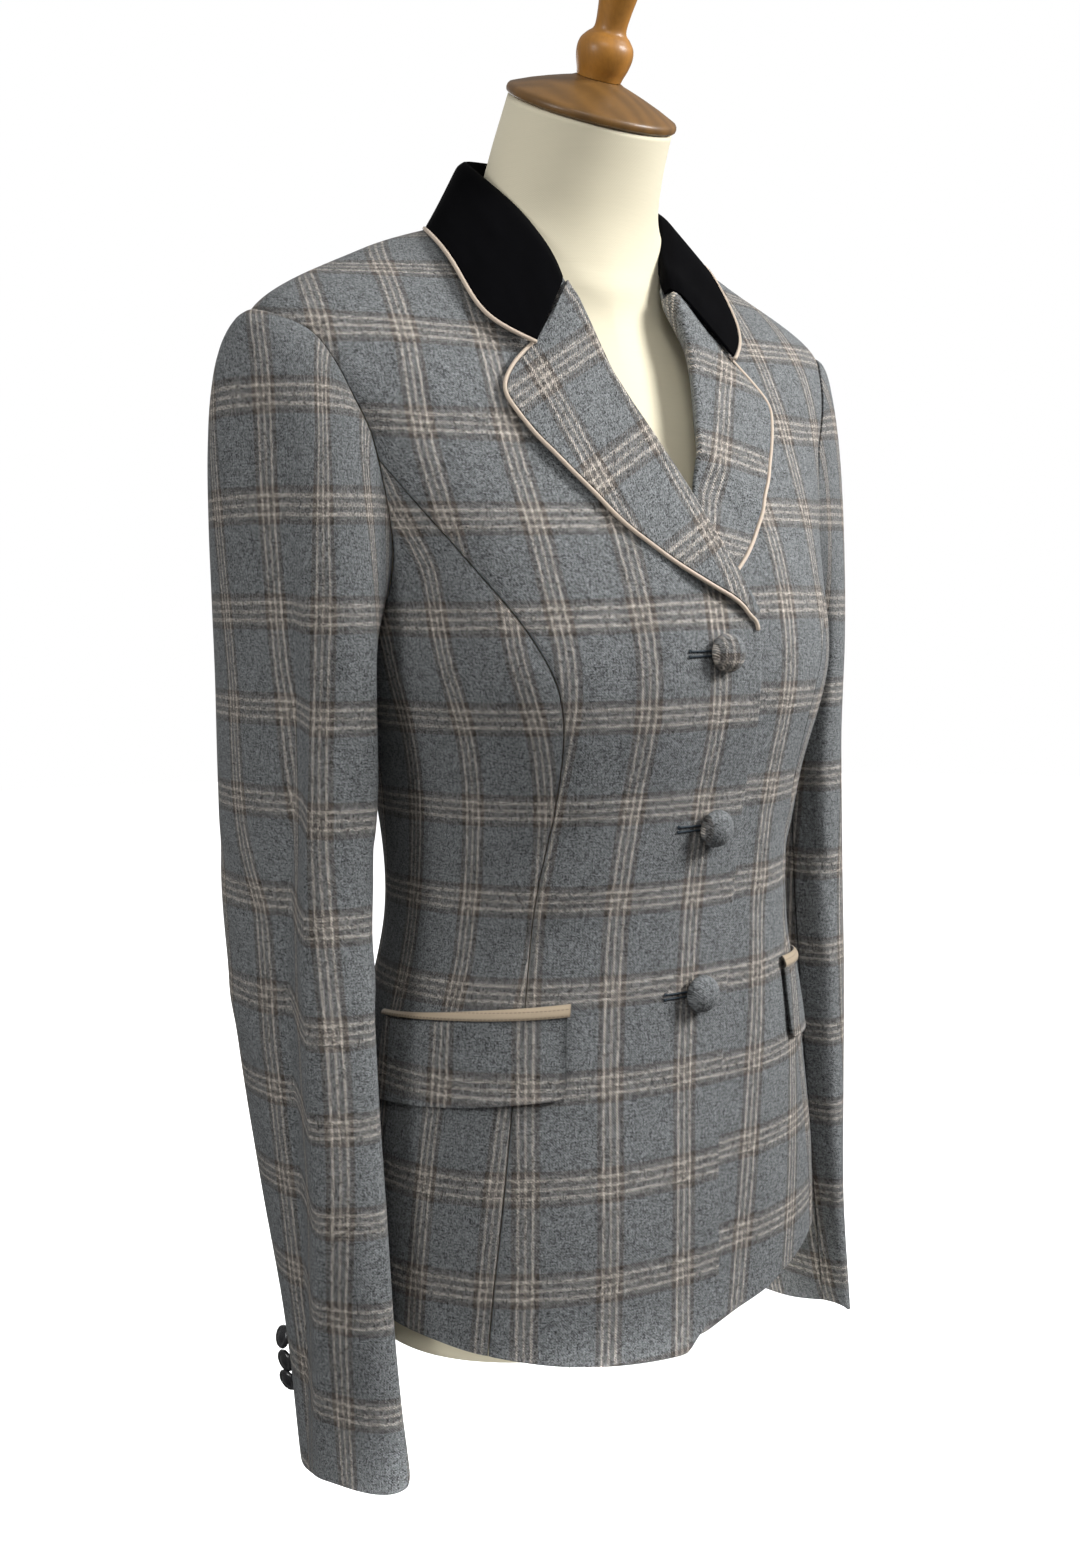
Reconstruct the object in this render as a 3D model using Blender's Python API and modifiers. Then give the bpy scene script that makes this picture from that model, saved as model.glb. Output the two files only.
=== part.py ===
"""A lady's equestrian show coat on a dress form, modelled piece by piece as it is cut and sewn.

Metres, +Z up. The origin is under the middle of the stand's foot, the coat's front faces -Y, and the
wearer's right is at -X. Heights in the tables are above the coat's waist.
"""

import math
from collections import namedtuple

import bpy
from mathutils import Vector

# Driving dimensions
WAIST = 0.56  # height of the coat's waist above the surface that the stand's foot is on
CLOTH = 0.002  # thickness of the cloth's wall
SEAM = 0.0003  # gap between pieces that are sewn together
NECK = 0.44  # level of the neck ring, where the shoulder seams end

# The coat's outer face, ring by ring. Up to the bust a ring's level is its height; above, rings tilt.
Ring = namedtuple(
    "Ring",
    "level height front_rise back_rise half_width front back centre front_squareness back_squareness",
)
RINGS = (
    Ring(-0.28, -0.28, 0, 0, 0.156, 0.112, 0.128, 0, 2.2, 2.2),
    Ring(-0.17, -0.17, 0, 0, 0.153, 0.111, 0.121, 0, 2.25, 2.2),
    Ring(-0.08, -0.08, 0, 0, 0.1445, 0.109, 0.109, 0, 2.2, 2.2),
    Ring(0.00, 0.00, 0, 0, 0.1305, 0.112, 0.092, 0, 2.1, 2.1),
    Ring(0.07, 0.07, 0, 0, 0.135, 0.1215, 0.094, 0, 2.2, 2.2),
    Ring(0.14, 0.14, 0, 0, 0.151, 0.131, 0.104, 0, 2.4, 2.4),
    Ring(0.20, 0.20, 0, 0, 0.160, 0.122, 0.111, 0.001, 2.15, 2.4),
    Ring(0.27, 0.27, -0.007, -0.005, 0.178, 0.092, 0.108, 0.006, 2.2, 2.3),
    Ring(0.34, 0.3385, -0.038, -0.03, 0.204, 0.087, 0.094, 0.018, 1.6, 2.1),
    Ring(0.39, 0.3800, -0.024, -0.006, 0.135, 0.068, 0.070, 0.022, 1.35, 2.0),
    Ring(0.44, 0.402, -0.047, 0.003, 0.068, 0.047, 0.052, 0.0135, 1.65, 2.0),
)


def between(rows, at):
    """The row at the given first value, on a smooth curve through all the rows."""
    i = max(0, min(len(rows) - 2, sum(row[0] <= at for row in rows) - 1))
    low, high = rows[i], rows[i + 1]
    before, after = rows[max(i - 1, 0)], rows[min(i + 2, len(rows) - 1)]
    span = high[0] - low[0]
    t = max(0.0, min(1.0, (at - low[0]) / span))
    found = []
    for column in range(1, len(low)):
        rise = high[column] - low[column]
        start = (high[column] - before[column]) / (high[0] - before[0]) * span
        end = (after[column] - low[column]) / (after[0] - low[0]) * span
        curve = t * start + t * t * (3 * rise - 2 * start - end) + t**3 * (start + end - 2 * rise)
        found.append(low[column] + curve)
    return found


def power(value, exponent):
    return math.copysign(abs(value) ** exponent, value)


def on_coat(level, angle):
    """A point of the coat's outer face: angle 0 is the centre front, +90 degrees the wearer's left side."""
    height, front_rise, back_rise, half_width, front, back, centre, *squareness = between(RINGS, level)
    across, ahead = math.sin(math.radians(angle)), math.cos(math.radians(angle))
    if ahead > 0:
        depth, rise, squareness = front, front_rise, squareness[0]
    else:
        depth, rise, squareness = back, back_rise, squareness[1]
    bent = power(ahead, 2 / squareness)
    x = half_width * power(across, 2 / squareness)
    return Vector((x, centre - depth * bent, WAIST + height + rise * bent * bent))


def angle_at(level, x):
    """The angle of the front's point that lies x from the centre line."""
    half_width, squareness = between(RINGS, level)[3], between(RINGS, level)[7]
    return math.degrees(math.asin(max(-1.0, min(1.0, power(x / half_width, squareness / 2)))))


def outward(level, angle):
    """The coat's normal at a point."""
    along = on_coat(level, angle + 0.5) - on_coat(level, angle - 0.5)
    up = on_coat(min(level + 0.002, NECK), angle) - on_coat(max(level - 0.002, RINGS[0].level), angle)
    return along.cross(up).normalized()


def off_coat(level, angle, out=0.0):
    return on_coat(level, angle) + outward(level, angle) * out


def ease(value, low, high):
    """0 below the low value, 1 above the high one, and smooth between."""
    t = max(0.0, min(1.0, (value - low) / (high - low)))
    return t * t * (3 - 2 * t)


# Where the pieces end. Angles and distances across are measured from the centre front.
Front = namedtuple("Front", "level across")
PRINCESS = (  # the seam from the hem over the bust to the armhole
    Front(-0.28, 0.124),
    Front(-0.20, 0.118),
    Front(-0.10, 0.107),
    Front(-0.035, 0.0967),
    Front(0.02, 0.0912),
    Front(0.08, 0.0868),
    Front(0.125, 0.0916),
    Front(0.16, 0.1054),
    Front(0.20, 0.127),
    Front(0.23, 0.1445),
    Front(0.257, 0.1598),
)
EDGE = (  # the front's edge, past the centre line
    Front(-0.28, 0.0160),
    Front(-0.15, 0.0180),
    Front(0.00, 0.0280),
    Front(0.165, 0.0285),
)
Turn = namedtuple("Turn", "turn level angle")
ARMHOLE = (  # twelve turns: from the shoulder tip by the front and the underarm to the tip again
    Turn(0.0, 0.342, 90),
    Turn(0.5, 0.338, 76),
    Turn(1.0, 0.330, 66),
    Turn(1.5, 0.313, 62.5),
    Turn(2.0, 0.292, 63.3),
    Turn(3.0, 0.257, 65.7),
    Turn(4.0, 0.205, 71.5),
    Turn(5.0, 0.174, 81),
    Turn(6.0, 0.163, 92),
    Turn(7.0, 0.175, 103),
    Turn(8.0, 0.205, 110),
    Turn(9.0, 0.245, 112.5),
    Turn(10.0, 0.290, 111.5),
    Turn(11.0, 0.325, 105),
    Turn(12.0, 0.342, 90),
)
SideBack = namedtuple("SideBack", "level angle")
SIDE_BACK = (
    SideBack(-0.28, 110),
    SideBack(-0.10, 113),
    SideBack(0.02, 116),
    SideBack(0.14, 114),
    SideBack(0.245, 112.5),
)
Hem = namedtuple("Hem", "angle level")
HEM = (  # all round, as it hangs
    Hem(-180, -0.232),
    Hem(-110, -0.231),
    Hem(-80, -0.234),
    Hem(-49, -0.2445),
    Hem(-29, -0.2525),
    Hem(-2, -0.2595),
    Hem(0, -0.2550),
    Hem(5, -0.2490),
    Hem(11, -0.2440),
    Hem(31, -0.2300),
    Hem(50, -0.2230),
    Hem(110, -0.2250),
    Hem(180, -0.232),
)
BASE = -0.26  # level of the lowest row before the hem's shape and the corners are added
BREAK = 0.165  # level where the roll line starts
CORNER = 0.03  # radius of the fronts' lower corners
LOWER, UPPER = 9, 3  # rows from the hem to the break, and from there to the armhole
COLUMNS = (0, 0.14, 0.28, 0.42, 0.56, 0.7, 0.82, 0.91, 0.97, 1)
BACK_COLUMNS = (0, 0.14, 0.28, 0.42, 0.56, 0.7, 0.84, 1)

# The roll of the lapel and the piped edge of its fall, from the gorge seam down to the break.
Lapel = namedtuple("Lapel", "along roll_level roll_angle stand edge_level edge_angle lift")
LAPEL = (
    Lapel(0, 0.3849, 24.5, 0.0077, 0.3503, 26.6, 0.0050),
    Lapel(1, 0.3790, 22.3, 0.0074, 0.3380, 28.7, 0.0030),
    Lapel(2, 0.3720, 20.0, 0.0070, 0.3170, 29.7, 0.0030),
    Lapel(3, 0.3620, 16.8, 0.0065, 0.2965, 27.6, 0.0035),
    Lapel(4, 0.3480, 13.0, 0.0064, 0.2769, 25.3, 0.0040),
    Lapel(5, 0.3300, 9.5, 0.0075, 0.2629, 22.8, 0.0045),
    Lapel(6, 0.3060, 6.2, 0.0085, 0.2500, 20.6, 0.0045),
    Lapel(7, 0.2800, 3.9, 0.0095, 0.2381, 18.1, 0.0035),
    Lapel(8, 0.2580, 2.1, 0.0090, 0.2261, 16.0, 0.0035),
    Lapel(9, 0.2400, 0.7, 0.0075, 0.2130, 12.8, 0.0045),
    Lapel(10, 0.2220, -0.4, 0.0070, 0.1985, 7.4, 0.0065),
    Lapel(11, 0.2040, -2.6, 0.0070, 0.1866, 1.6, 0.0085),
    Lapel(12, 0.1860, -5.2, 0.0068, 0.1770, -3.4, 0.0080),
    Lapel(13, 0.1710, -7.3, 0.0062, 0.1690, -6.0, 0.0065),
)

# The collar from the centre back to the gorge: its foot at the neck seam, its fold, and its piped edge.
Collar = namedtuple("Collar", "along neck_level neck_angle stand lean edge_level edge_angle lift")
COLLAR = (
    Collar(0, 0.44, 180, 0.0450, 0, 0.418, 180, 0.0025),
    Collar(1, 0.44, 160, 0.0445, 0, 0.420, 161, 0.0025),
    Collar(2, 0.44, 138, 0.0420, 0, 0.425, 139, 0.0025),
    Collar(3, 0.44, 118, 0.0395, 0, 0.4285, 116, 0.0025),
    Collar(4, 0.44, 98, 0.0345, 0, 0.4245, 95, 0.0025),
    Collar(5, 0.44, 80, 0.0275, 0, 0.4145, 77, 0.0025),
    Collar(6, 0.44, 69.6, 0.0225, 0.1, 0.4045, 64, 0.0025),
    Collar(7, 0.44, 61.0, 0.0200, 0.25, 0.3950, 56, 0.0025),
    Collar(8, 0.44, 55.0, 0.0178, 0.4, 0.3810, 48, 0.0025),
    Collar(9, 0.44, 49.2, 0.0153, 0.55, 0.3690, 42.5, 0.0025),
    Collar(10, 0.4356, 42.9, 0.0139, 0.7, 0.3590, 38.3, 0.0025),
    Collar(11, 0.4182, 33.5, 0.0129, 0.8, 0.3565, 35.4, 0.0028),
    Collar(12, 0.3992, 27.5, 0.0105, 0.9, 0.3535, 31.3, 0.0040),
    Collar(13, 0.3865, 24.9, 0.0083, 1, 0.3510, 27.0, 0.0050),
)

# The empty sleeve: a section at each height, flatter on the side that lies along the trunk.
Sleeve = namedtuple("Sleeve", "height across back inner outer half_length")
SLEEVE = (
    Sleeve(-0.321, 0.1690, -0.0050, 0.0110, 0.0265, 0.0575),
    Sleeve(-0.24, 0.1710, 0.0035, 0.0125, 0.0300, 0.0555),
    Sleeve(-0.16, 0.1730, 0.0125, 0.0160, 0.0370, 0.0580),
    Sleeve(-0.08, 0.1745, 0.0220, 0.0185, 0.0425, 0.0615),
    Sleeve(0.00, 0.1740, 0.0300, 0.0200, 0.0465, 0.0660),
    Sleeve(0.08, 0.1690, 0.0340, 0.0175, 0.0490, 0.0740),
    Sleeve(0.13, 0.1690, 0.0340, 0.0130, 0.0475, 0.0780),
)
LEFT_SHORTER = 0.021  # how much higher the left cuff hangs
CUFF_TILT = 0.005  # how much higher the cuff's opening is in front than behind
HEAD_ROWS, ARM_ROWS = 5, 8
FRONT_SEAM, HIND_SEAM = 4.5, 10.0  # turns of the two seams of the sleeve

Pocket = namedtuple("Pocket", "front_angle back_angle front_level back_level depth slant kick")
POCKETS = {
    "right": Pocket(32.6, 90.0, -0.0492, -0.0590, 0.0475, 1.6, 0.0012),
    "left": Pocket(35.5, 90.0, -0.0430, -0.0530, 0.0470, 4.0, 0.0100),
}
JET = 0.0055  # height of the piped edge above a flap
BUTTON_LEVELS = (0.150, 0.052, -0.045)
BUTTON_RADIUS = 0.0103
CUFF_BUTTON_HEIGHTS = (-0.2575, -0.2723, -0.2870)
CUFF_BUTTON_RADIUS = 0.0066

Foam = namedtuple("Foam", "level inset")
FORM = (  # how far the dress form lies inside the coat's outer face
    Foam(-0.28, 0.0070),
    Foam(-0.10, 0.0075),
    Foam(0.00, 0.0065),
    Foam(0.20, 0.0070),
    Foam(0.27, 0.0065),
    Foam(0.31, 0.0085),
    Foam(0.375, 0.0122),
    Foam(0.44, 0.0075),
)
FORM_LEVELS = (
    *(-0.2, -0.15, -0.1, -0.05, -0.01, 0.03, 0.07, 0.105, 0.14, 0.17, 0.2, 0.23, 0.26, 0.285, 0.31),
    *(0.328, 0.339, 0.35, 0.362, 0.375, 0.388, 0.4, 0.412),
)
FORM_BOTTOM = -0.253
Throat = namedtuple("Throat", "height forward half_width half_depth tilt")
THROAT = (  # the form's neck, leaning forward
    Throat(0.3930, -0.0150, 0.0545, 0.0440, 14),
    Throat(0.4030, -0.0120, 0.0550, 0.0480, 15),
    Throat(0.4180, -0.0080, 0.0542, 0.0515, 16),
    Throat(0.436, -0.001, 0.0520, 0.0520, 18),
    Throat(0.453, 0.008, 0.0504, 0.0510, 22),
    Throat(0.4645, 0.0145, 0.0496, 0.0500, 26),
)

MATERIALS = {
    "plaid": ((0.13, 0.145, 0.16, 1), 0.85),
    "velvet": ((0.004, 0.004, 0.005, 1), 0.9),
    "piping": ((0.55, 0.45, 0.36, 1), 0.5),
    "horn": ((0.006, 0.006, 0.007, 1), 0.25),
    "linen": ((0.78, 0.72, 0.55, 1), 0.8),
    "wood": ((0.17, 0.07, 0.025, 1), 0.35),
    "metal": ((0.8, 0.8, 0.78, 1), 0.4),
}


def clear_scene():
    for obj in list(bpy.data.objects):
        bpy.data.objects.remove(obj, do_unlink=True)


def coloured(obj, finish):
    """Gives the piece a material of its own."""
    colour, roughness = MATERIALS[finish]
    material = bpy.data.materials.new(obj.name)
    material.use_nodes = True
    shader = material.node_tree.nodes["Principled BSDF"]
    shader.inputs["Base Color"].default_value = colour
    shader.inputs["Roughness"].default_value = roughness
    obj.data.materials.clear()
    obj.data.materials.append(material)
    return obj


def added(name, data, finish):
    obj = bpy.data.objects.new(name, data)
    bpy.context.scene.collection.objects.link(obj)
    return coloured(obj, finish)


def sheet(name, rows, finish, flipped=False, thickness=CLOTH, offset=-1):
    """A wall of cloth: the surface through rows of points, made thick."""
    width = len(rows[0])
    faces = []
    for r in range(len(rows) - 1):
        for c in range(width - 1):
            corner = r * width + c
            face = (corner, corner + 1, corner + width + 1, corner + width)
            faces.append(face[::-1] if flipped else face)
    mesh = bpy.data.meshes.new(name)
    mesh.from_pydata([point for row in rows for point in row], [], faces)
    obj = added(name, mesh, finish)
    wall = obj.modifiers.new("Wall", "SOLIDIFY")
    wall.thickness = thickness
    wall.offset = offset
    return obj


def wall(name, rows, finish, flipped=False):
    """A wall lofted through rows of sections; a section is a list of (outer point, inner point)."""
    width = len(rows[0])
    loop = 2 * width
    points = []
    for row in rows:
        points += [outer for outer, inner in row] + [inner for outer, inner in row[::-1]]
    faces = []
    for r in range(len(rows) - 1):
        low, high = r * loop, (r + 1) * loop
        for c in range(width - 1):
            one = (points[low + c] - points[high + c + 1]).length
            other = (points[low + c + 1] - points[high + c]).length
            steep = one > other
            for near, far in ((c, c + 1), (loop - 2 - c, loop - 1 - c)):
                if steep == (near == c):
                    faces.append((low + near, low + far, high + near))
                    faces.append((low + far, high + far, high + near))
                else:
                    faces.append((low + near, low + far, high + far))
                    faces.append((low + near, high + far, high + near))
        for near, far in ((width - 1, width), (loop - 1, 0)):
            faces.append((low + near, low + far, high + far, high + near))
    last = (len(rows) - 1) * loop
    for c in range(width - 1):
        within = loop - 1 - c
        faces.append((c + 1, c, within, within - 1))
        faces.append((last + c, last + c + 1, last + within - 1, last + within))
    mesh = bpy.data.meshes.new(name)
    if flipped:
        faces = [face[::-1] for face in faces]
    mesh.from_pydata(points, [], faces)
    return added(name, mesh, finish)


def through(level, angle, out=0.0):
    """The two faces of the cloth at a point of the coat."""
    point, normal = on_coat(level, angle), outward(level, angle)
    return point + normal * out, point + normal * (out - CLOTH)


def seam_angle(width):
    """Half a seam's gap as an angle, at a place this far from the body's middle."""
    return math.degrees(SEAM / 2 / width)


# Trunk


def princess(level):
    return angle_at(level, between(PRINCESS, level)[0])


def side_back(level):
    return between(SIDE_BACK, level)[0]


def armhole(turn):
    return between(ARMHOLE, turn % 12 if turn != 12 else 12)


def rise_of(side, angle):
    """How far the hem is above the lowest row at this angle."""
    return between(HEM, max(-180, min(180, side * angle)))[0] - BASE


def hung(side, level, angle, lift=0.0):
    """The level after the hem's rise, which fades out above."""
    return level + (rise_of(side, angle) + lift) * max(0.0, 1 - (level - BASE) / 0.16)


def roll(level_or_along):
    """Level and angle of the roll line, by the lapel's rows."""
    row = between(LAPEL, level_or_along)
    return row[0], row[1]


def layer(side, level, across):
    """How far a front lies off the coat's face where the fronts and the left lapel are stacked."""
    near = 1 - ease(across, 0.032, 0.062)
    if side > 0:
        return -0.0034 * near
    return 0.0042 * near * ease(level, 0.06, 0.118)


def middle(level, half_gap=0.0002):
    """The angle of the centre back, half a seam short of it."""
    half_width, squareness = between(RINGS, level)[3], between(RINGS, level)[8]
    return 180 - math.degrees(math.asin((half_gap / half_width) ** (squareness / 2)))


def lower_levels():
    step = (BREAK - BASE) / LOWER
    return [BASE + step * i for i in range(LOWER + 1)]


def front(side):
    name = "front_right" if side < 0 else "front_left"
    junction = between(ARMHOLE, 3)[0]
    levels = lower_levels() + [BREAK + (junction - BREAK) * (i + 1) / UPPER for i in range(UPPER)]
    ends = []
    for i, level in enumerate(levels):
        inner = (level, -angle_at(level, between(EDGE, level)[0]))
        if i > LOWER:
            inner = roll(13 - 3.9 * (i - LOWER) / UPPER)
        ends.append(((level, princess(level) - seam_angle(0.13)), inner))
    for turn, along in ((2.5, 7.3), (2, 5.6), (1.5, 3.9), (1, 2.2), (0.5, None), (0, None)):
        level, angle = armhole(turn)
        if along is not None:
            inner = roll(along)
        elif turn == 0.5:
            inner = (0.433, 42)
        else:
            inner = (NECK, 90 - seam_angle(0.068))
        ends.append(((level, min(angle, 90 - seam_angle(0.2))), inner))
    rows = []
    for i, (outer, inner) in enumerate(ends):
        row = []
        for f in COLUMNS:
            level = outer[0] + (inner[0] - outer[0]) * f
            angle = outer[1] + (inner[1] - outer[1]) * f
            across = abs(on_coat(level, angle).x)
            from_edge = across + between(EDGE, level)[0] if angle > 0 else between(EDGE, level)[0] - across
            inside = max(0.0, CORNER - from_edge)
            corner = CORNER - math.sqrt(max(0.0, CORNER ** 2 - inside ** 2))
            if level < BREAK:
                level = hung(side, level, angle, corner)
            row.append(through(level, side * angle, layer(side, level, across)))
        rows.append(row)
    return wall(name, rows, "plaid", flipped=side > 0)


def side_panel(side):
    name = "side_right" if side < 0 else "side_left"
    count = LOWER + UPPER
    fractions = [(level - BASE) / (between(ARMHOLE, 3)[0] - BASE) for level in lower_levels()]
    fractions += [fractions[-1] + (1 - fractions[-1]) * (i + 1) / UPPER for i in range(UPPER)]
    rows = []
    for i in range(count + 1):
        row = []
        for c in range(13):
            f = c / 12
            top, top_angle = armhole(3 + 6 * f)
            front_end, back_end = princess(top) + seam_angle(0.13), side_back(top) - seam_angle(0.13)
            share = (top_angle - front_end) / (back_end - front_end) if 0 < c < 12 else f
            level = BASE + (top - 0.0006 * ease(min(c, 12 - c), 0, 1) - BASE) * fractions[i]
            share = f + (share - f) * ease(level, 0.05, top)
            low, high = princess(level) + seam_angle(0.13), side_back(level) - seam_angle(0.13)
            angle = low + (high - low) * share
            if level < BREAK:
                level = hung(side, level, angle)
            row.append(through(level, side * angle))
        rows.append(row)
    return wall(name, rows, "plaid", flipped=side < 0)


def back(side):
    name = "back_right" if side < 0 else "back_left"
    junction = between(ARMHOLE, 9)[0]
    fractions = [(level - BASE) / (between(ARMHOLE, 3)[0] - BASE) for level in lower_levels()]
    fractions += [fractions[-1] + (1 - fractions[-1]) * (i + 1) / UPPER for i in range(UPPER)]
    ends = []
    for fraction in fractions:
        level = BASE + (junction - BASE) * fraction
        ends.append(((level, side_back(level) + seam_angle(0.13)), (level, middle(level))))
    for turn, inner in (
        (9.5, (0.29, middle(0.29))),
        (10, (0.335, middle(0.335))),
        (10.5, (0.38, middle(0.38))),
        (11, (NECK, middle(NECK))),
        (11.5, (NECK, 133)),
        (12, (NECK, 90 + seam_angle(0.068))),
    ):
        level, angle = armhole(turn)
        ends.append(((level, max(angle, 90 + seam_angle(0.2))), inner))
    rows = []
    for outer, inner in ends:
        row = []
        for f in BACK_COLUMNS:
            level = outer[0] + (inner[0] - outer[0]) * f
            angle = outer[1] + (inner[1] - outer[1]) * f
            if level < BREAK:
                level = hung(side, level, angle)
            row.append(through(level, side * angle))
        rows.append(row)
    return wall(name, rows, "plaid", flipped=side < 0)


# Sleeves


def sleeve_section(side, height, turn):
    across, back_of, inner, outer, half_length = between(SLEEVE, height)
    turned = math.radians(turn * 30)
    if side > 0:
        outer -= 0.008 + 0.004 * ease(-height, 0.1, 0.3)
        height += LEFT_SHORTER * ease(-height, -0.05, -SLEEVE[0].height)
    height += CUFF_TILT * math.sin(turned) * ease(-height, 0.2, -SLEEVE[0].height)
    out = math.cos(turned) * (outer if math.cos(turned) > 0 else inner)
    return Vector((side * (across + out), back_of - half_length * math.sin(turned), WAIST + height))


def armhole_start(side, turn):
    """Where the sleeve is sewn to the armhole's edge: a seam's gap off the cloth and past its edge."""
    level, angle = armhole(turn % 12)
    after, before = turned_about(side, (turn + 0.1) % 12), turned_about(side, (turn - 0.1) % 12)
    ahead = on_coat(*after) - on_coat(*before)
    normal = outward(level, side * angle)
    into = ahead.cross(normal).normalized() * side
    return on_coat(level, side * angle) + (normal * 2 + into * 1.3) * SEAM


def turned_about(side, turn):
    level, angle = armhole(turn)
    return level, side * angle


def sleeve_point(side, turn, row):
    """A point of the sleeve's outer face. Rows 0 to HEAD_ROWS are the head, from the armhole down."""
    top = SLEEVE[-1].height
    if row >= HEAD_ROWS:
        share = (row - HEAD_ROWS) / ARM_ROWS
        return sleeve_section(side, top + (SLEEVE[0].height - top) * share, turn)
    start = armhole_start(side, turn)
    end = sleeve_section(side, top, turn)
    length = (end - start).length
    over = (1 + math.cos(math.radians(turn * 30))) / 2
    away = 0.12 + (0.40 if side < 0 else 0.24) * over
    lead = Vector((side * away, -0.1 * math.sin(math.radians(turn * 30)), over - 1))
    drop = (sleeve_section(side, top - 0.02, turn) - end).normalized()
    t = row / HEAD_ROWS
    return (
        start * (1 - 3 * t * t + 2 * t ** 3)
        + end * (3 * t * t - 2 * t ** 3)
        + lead * length * (t - 2 * t * t + t ** 3)
        + drop * length * (t ** 3 - t * t)
    )


def sleeve_wall(side, turn, row):
    """The two faces of the sleeve's cloth at a point."""
    around = sleeve_point(side, turn + 0.05, row) - sleeve_point(side, turn - 0.05, row)
    low, high = min(row + 0.05, HEAD_ROWS + ARM_ROWS), max(row - 0.05, 0)
    down = sleeve_point(side, turn, low) - sleeve_point(side, turn, high)
    normal = around.cross(down).normalized() * side
    point = sleeve_point(side, turn, row)
    return point, point - normal * CLOTH


def sleeve_half(side, name, first, last, columns):
    gap = 0.008
    rows = []
    for row in range(HEAD_ROWS + ARM_ROWS + 1):
        turns = [first + gap + (last - first - 2 * gap) * c / columns for c in range(columns + 1)]
        rows.append([sleeve_wall(side, turn, row) for turn in turns])
    return wall(name, rows, "plaid", flipped=side < 0)


# Collar and lapels


def lapel_point(side, along, share, lower=0.0):
    """A point of the lapel's middle: share 0 is the foot of its roll, 1 its piped edge."""
    roll_level, roll_angle, stand, edge_level, edge_angle, lift = between(LAPEL, along)
    if side > 0:
        under = ease(along, 7.4, 8.8)
        stand += (-0.0002 - stand) * under
        lift += (-0.0012 - lift) * under
    rim = seam_angle(0.15) * 2 + math.degrees(0.0013 / 0.15)
    if share < 0.12:
        t = share / 0.12
        level, angle = roll_level, roll_angle - rim
        foot = layer(side, level, abs(on_coat(level, angle).x)) - 0.001
        out = foot + (stand - foot) * t
    else:
        t = (share - 0.12) / 0.88
        level = roll_level + (edge_level - roll_level) * t
        angle = roll_angle - rim + (edge_angle - roll_angle + rim) * t
        out = lift + (stand - lift) * (1 - t) ** 1.5 + 0.0008 * math.sin(math.pi * t)
        if t > 0:
            out = max(out, layer(side, level, abs(on_coat(level, angle).x)) + 0.0016)
    return off_coat(level, side * angle, out)


LAPEL_SHARES = (0, 0.08, 0.12, 0.22, 0.42, 0.7, 1)


def lapel(side):
    name = "lapel_right" if side < 0 else "lapel_left"
    rows = [[lapel_point(side, row.along, share) for share in LAPEL_SHARES] for row in LAPEL]
    return sheet(name, rows, "plaid", flipped=side > 0, thickness=0.0016, offset=0)


def collar_point(side, along, share):
    """A point of the collar's middle: share 0 is its foot in the neck seam, 1 its piped edge."""
    neck_level, neck_angle, stand, lean, edge_level, edge_angle, lift = between(COLLAR, along)
    foot = on_coat(neck_level, side * neck_angle)
    normal = outward(neck_level, side * neck_angle)
    up = (Vector((0, 0, 1)) * (1 - lean) + normal * lean).normalized()
    inward = Vector((-normal.x, -normal.y, 0)).normalized()
    foot = foot - normal * 0.001 + (inward + Vector((0, 0, 1))) * 0.0014
    slump = ease(along, 0.5, 4.5) * (1 - ease(along, 9.5, 12.5)) if side > 0 else 0.0
    top = foot + up * (stand - 0.010 * slump) - inward * (0.003 * slump)
    if share < 0.3:
        return foot + (top - foot) * (share / 0.3)
    t = (share - 0.3) / 0.7
    edge = off_coat(edge_level + 0.006 * slump, side * edge_angle, lift)
    bow = outward(edge_level, side * edge_angle) * (0.0006 * math.sin(math.pi * t))
    return top - inward * 0.0035 * ease(t, 0, 0.12) + (edge - top) * t + bow


COLLAR_SHARES = (0, 0.16, 0.28, 0.34, 0.5, 0.75, 1)


def collar():
    stations = [(-1, row.along) for row in COLLAR[::-1]] + [(1, row.along) for row in COLLAR[1:]]
    rows = [[collar_point(side, along, share) for share in COLLAR_SHARES] for side, along in stations]
    return sheet("collar", rows, "velvet", flipped=False, thickness=0.0018, offset=0)


def cord(name, points, radius, finish):
    curve = bpy.data.curves.new(name, "CURVE")
    curve.dimensions = "3D"
    curve.bevel_depth = radius
    curve.bevel_resolution = 1
    curve.use_fill_caps = True
    line = curve.splines.new("POLY")
    line.points.add(len(points) - 1)
    for target, point in zip(line.points, points):
        target.co = (*point, 1)
    return added(name, curve, finish)


PIPING = 0.0012  # radius of the piped edge


def beside(edges, normals, distance):
    """Points beside a sheet's edge, in its plane; a negative distance takes the other side."""
    count = len(edges)
    aways = []
    for i in range(count - 1):
        aways.append((edges[i + 1] - edges[i]).cross(normals[i] + normals[i + 1]).normalized())
    found = []
    for i, edge in enumerate(edges):
        one, two = aways[max(i - 1, 0)], aways[min(i, count - 2)]
        found.append(edge + (one + two) * (distance / (1 + one.dot(two))))
    return found


def lapel_piping(side):
    name = "lapel_piping_right" if side < 0 else "lapel_piping_left"
    edges = [lapel_point(side, row.along, 1) for row in LAPEL]
    normals = [outward(row.edge_level, side * row.edge_angle) for row in LAPEL]
    return cord(name, beside(edges, normals, -side * (PIPING + 2 * SEAM)), PIPING, "piping")


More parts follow.
